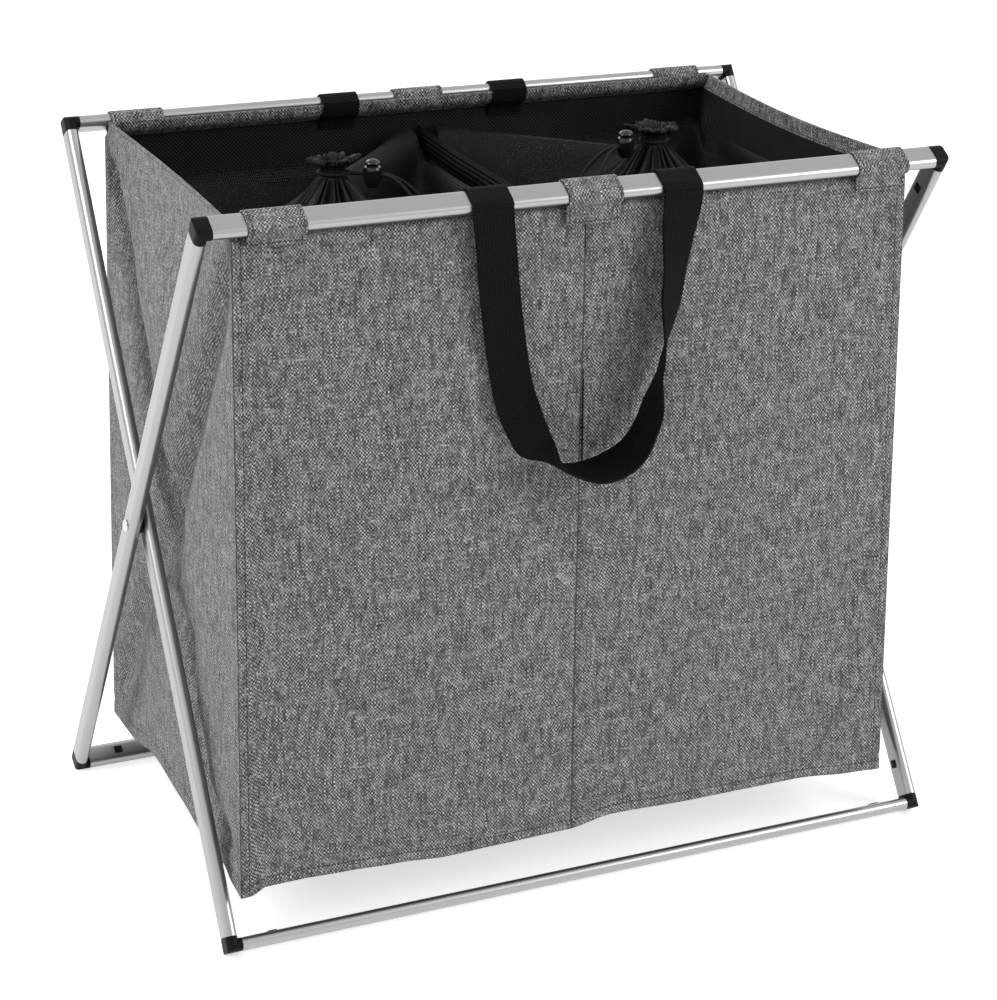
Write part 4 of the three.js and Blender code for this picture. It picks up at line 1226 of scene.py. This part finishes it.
def neck_frame(i):
    turn = Matrix.Rotation(HEADINGS[i], 4, "Z")
    return Matrix.Translation((NECKS[i][0], NECKS[i][1], NECK_LEVEL)) @ turn


def cord_piece(name, points):
    line = bpy.data.curves.new(name, "CURVE")
    line.dimensions = "3D"
    spline = line.splines.new("POLY")
    spline.points.add(len(points) - 1)
    for mark, point in zip(spline.points, points):
        mark.co = (*(point * MM), 1)
    line.bevel_depth, line.bevel_resolution, line.use_fill_caps = CORD / 2 * MM, 3, True
    line.materials.append(FINISH["braid"])
    return add_object(name, line)


def as_mesh(line_piece):
    """The cord's curve turned into a mesh, with its doubled vertices welded."""
    name, mesh = line_piece.name, bpy.data.meshes.new_from_object(line_piece)
    bpy.data.objects.remove(line_piece)
    bm = bmesh.new()
    bm.from_mesh(mesh)
    bmesh.ops.remove_doubles(bm, verts=bm.verts, dist=SAME_PLACE)
    bm.to_mesh(mesh)
    bm.free()
    return add_object(name, mesh)


def ring_points():
    opening = 3 * math.asin(STRAND / CORD_RING)
    strand = [(x, STRAND, 0) for x in (LOCK_REACH + 5, LOCK_REACH - LOCK_HALF, CORD_RING + 2 * STRAND)]
    turns = [lerp(opening, 2 * math.pi - opening, i / 16) for i in range(17)]
    round_neck = [(CORD_RING * math.cos(turn), CORD_RING * math.sin(turn), 0) for turn in turns]
    return [Vector(p) for p in strand + round_neck + [(x, -y, z) for x, y, z in reversed(strand)]]


for i, word in enumerate(("left", "right")):
    place = neck_frame(i)
    ring, _ = through_points(ring_points(), 60)
    loop = cord_piece(f"{word}_cord_ring", [place @ p for p in ring])
    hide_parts(f"{word}_drawcord")
    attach(loop, f"{word}_gather")
    tail_line, length = through_points([Vector((LOCK_REACH + x, y, z)) for x, y, z in TAIL_ROUTE], 40)
    tail_line = [place @ p for p in tail_line]
    tail = as_mesh(cord_piece(f"{word}_cord_tail", tail_line))
    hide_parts(f"{word}_drawcord_tail")
    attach(tail, f"{word}_lock")
    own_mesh(tail)
    print(word, "tail", round(length, 1), "mm")

# %% [markdown]
# ## Floor and light
# The hamper stands in a plain white studio. The floor and the world look white to the camera and in
# reflections, while the lamps stay at a level at which the grey cloth renders as it is. The floor
# still takes the hamper's shadow.

# %% Floor
def seen_directly(owner):
    rays = add_node(owner, "ShaderNodeLightPath", {}, {}).outputs
    return either(owner, *(rays[f"Is {kind} Ray"] for kind in ("Camera", "Glossy", "Transmission")))


def make_floor():
    bm = bmesh.new()
    bmesh.ops.create_grid(bm, x_segments=1, y_segments=1, size=12)
    mesh = bpy.data.meshes.new("studio_floor")
    bm.to_mesh(mesh)
    bm.free()
    finish, shader = new_finish("studio_white", Roughness=0.9, Specular_IOR_Level=0.1)
    shader.inputs["Base Color"].default_value = (0.86, 0.86, 0.86, 1)
    grain = cloudy(finish, object_place(finish), 3.0)
    fill_socket(finish, shader.inputs["Roughness"], spread_out(finish, grain, 0.0, 1.0, 0.85, 0.95))
    shader.inputs["Emission Color"].default_value = (1, 1, 1, 1)
    glow = calc(finish, "MULTIPLY", seen_directly(finish), 0.62)
    fill_socket(finish, shader.inputs["Emission Strength"], glow)
    mesh.materials.append(finish)
    add_object("studio_floor", mesh)


make_floor()


# %% World and lamps
def make_world():
    world = bpy.data.worlds.new("studio")
    world.use_nodes = True
    bpy.context.scene.world = world
    background = world.node_tree.nodes["Background"].inputs
    background["Color"].default_value = (1, 1, 1, 1)
    level = spread_out(world, seen_directly(world), 0.0, 1.0, 0.5, 1.0)
    fill_socket(world, background["Strength"], level)


def add_lamp(name, place, target, size, power):
    lamp = bpy.data.lights.new(name, "AREA")
    lamp.shape, lamp.size, lamp.size_y, lamp.energy = "RECTANGLE", size[0], size[1], power
    holder = add_object(name, lamp)
    holder.location = place
    holder.rotation_euler = (Vector(target) - Vector(place)).to_track_quat("-Z", "Y").to_euler()


make_world()
add_lamp("key", (-2.7, -0.3, 2.2), (0, 0, 0.3), (1.4, 1.4), 44)
add_lamp("fill", (2.0, -1.8, 1.6), (0.1, 0, 0.3), (1.4, 1.4), 37)
add_lamp("top", (-0.6, 2.6, 2.4), (0, 0, 0.4), (1.6, 1.2), 22)

bpy.context.scene.view_settings.view_transform = "Standard"
print("lamps:", len(bpy.data.lights))
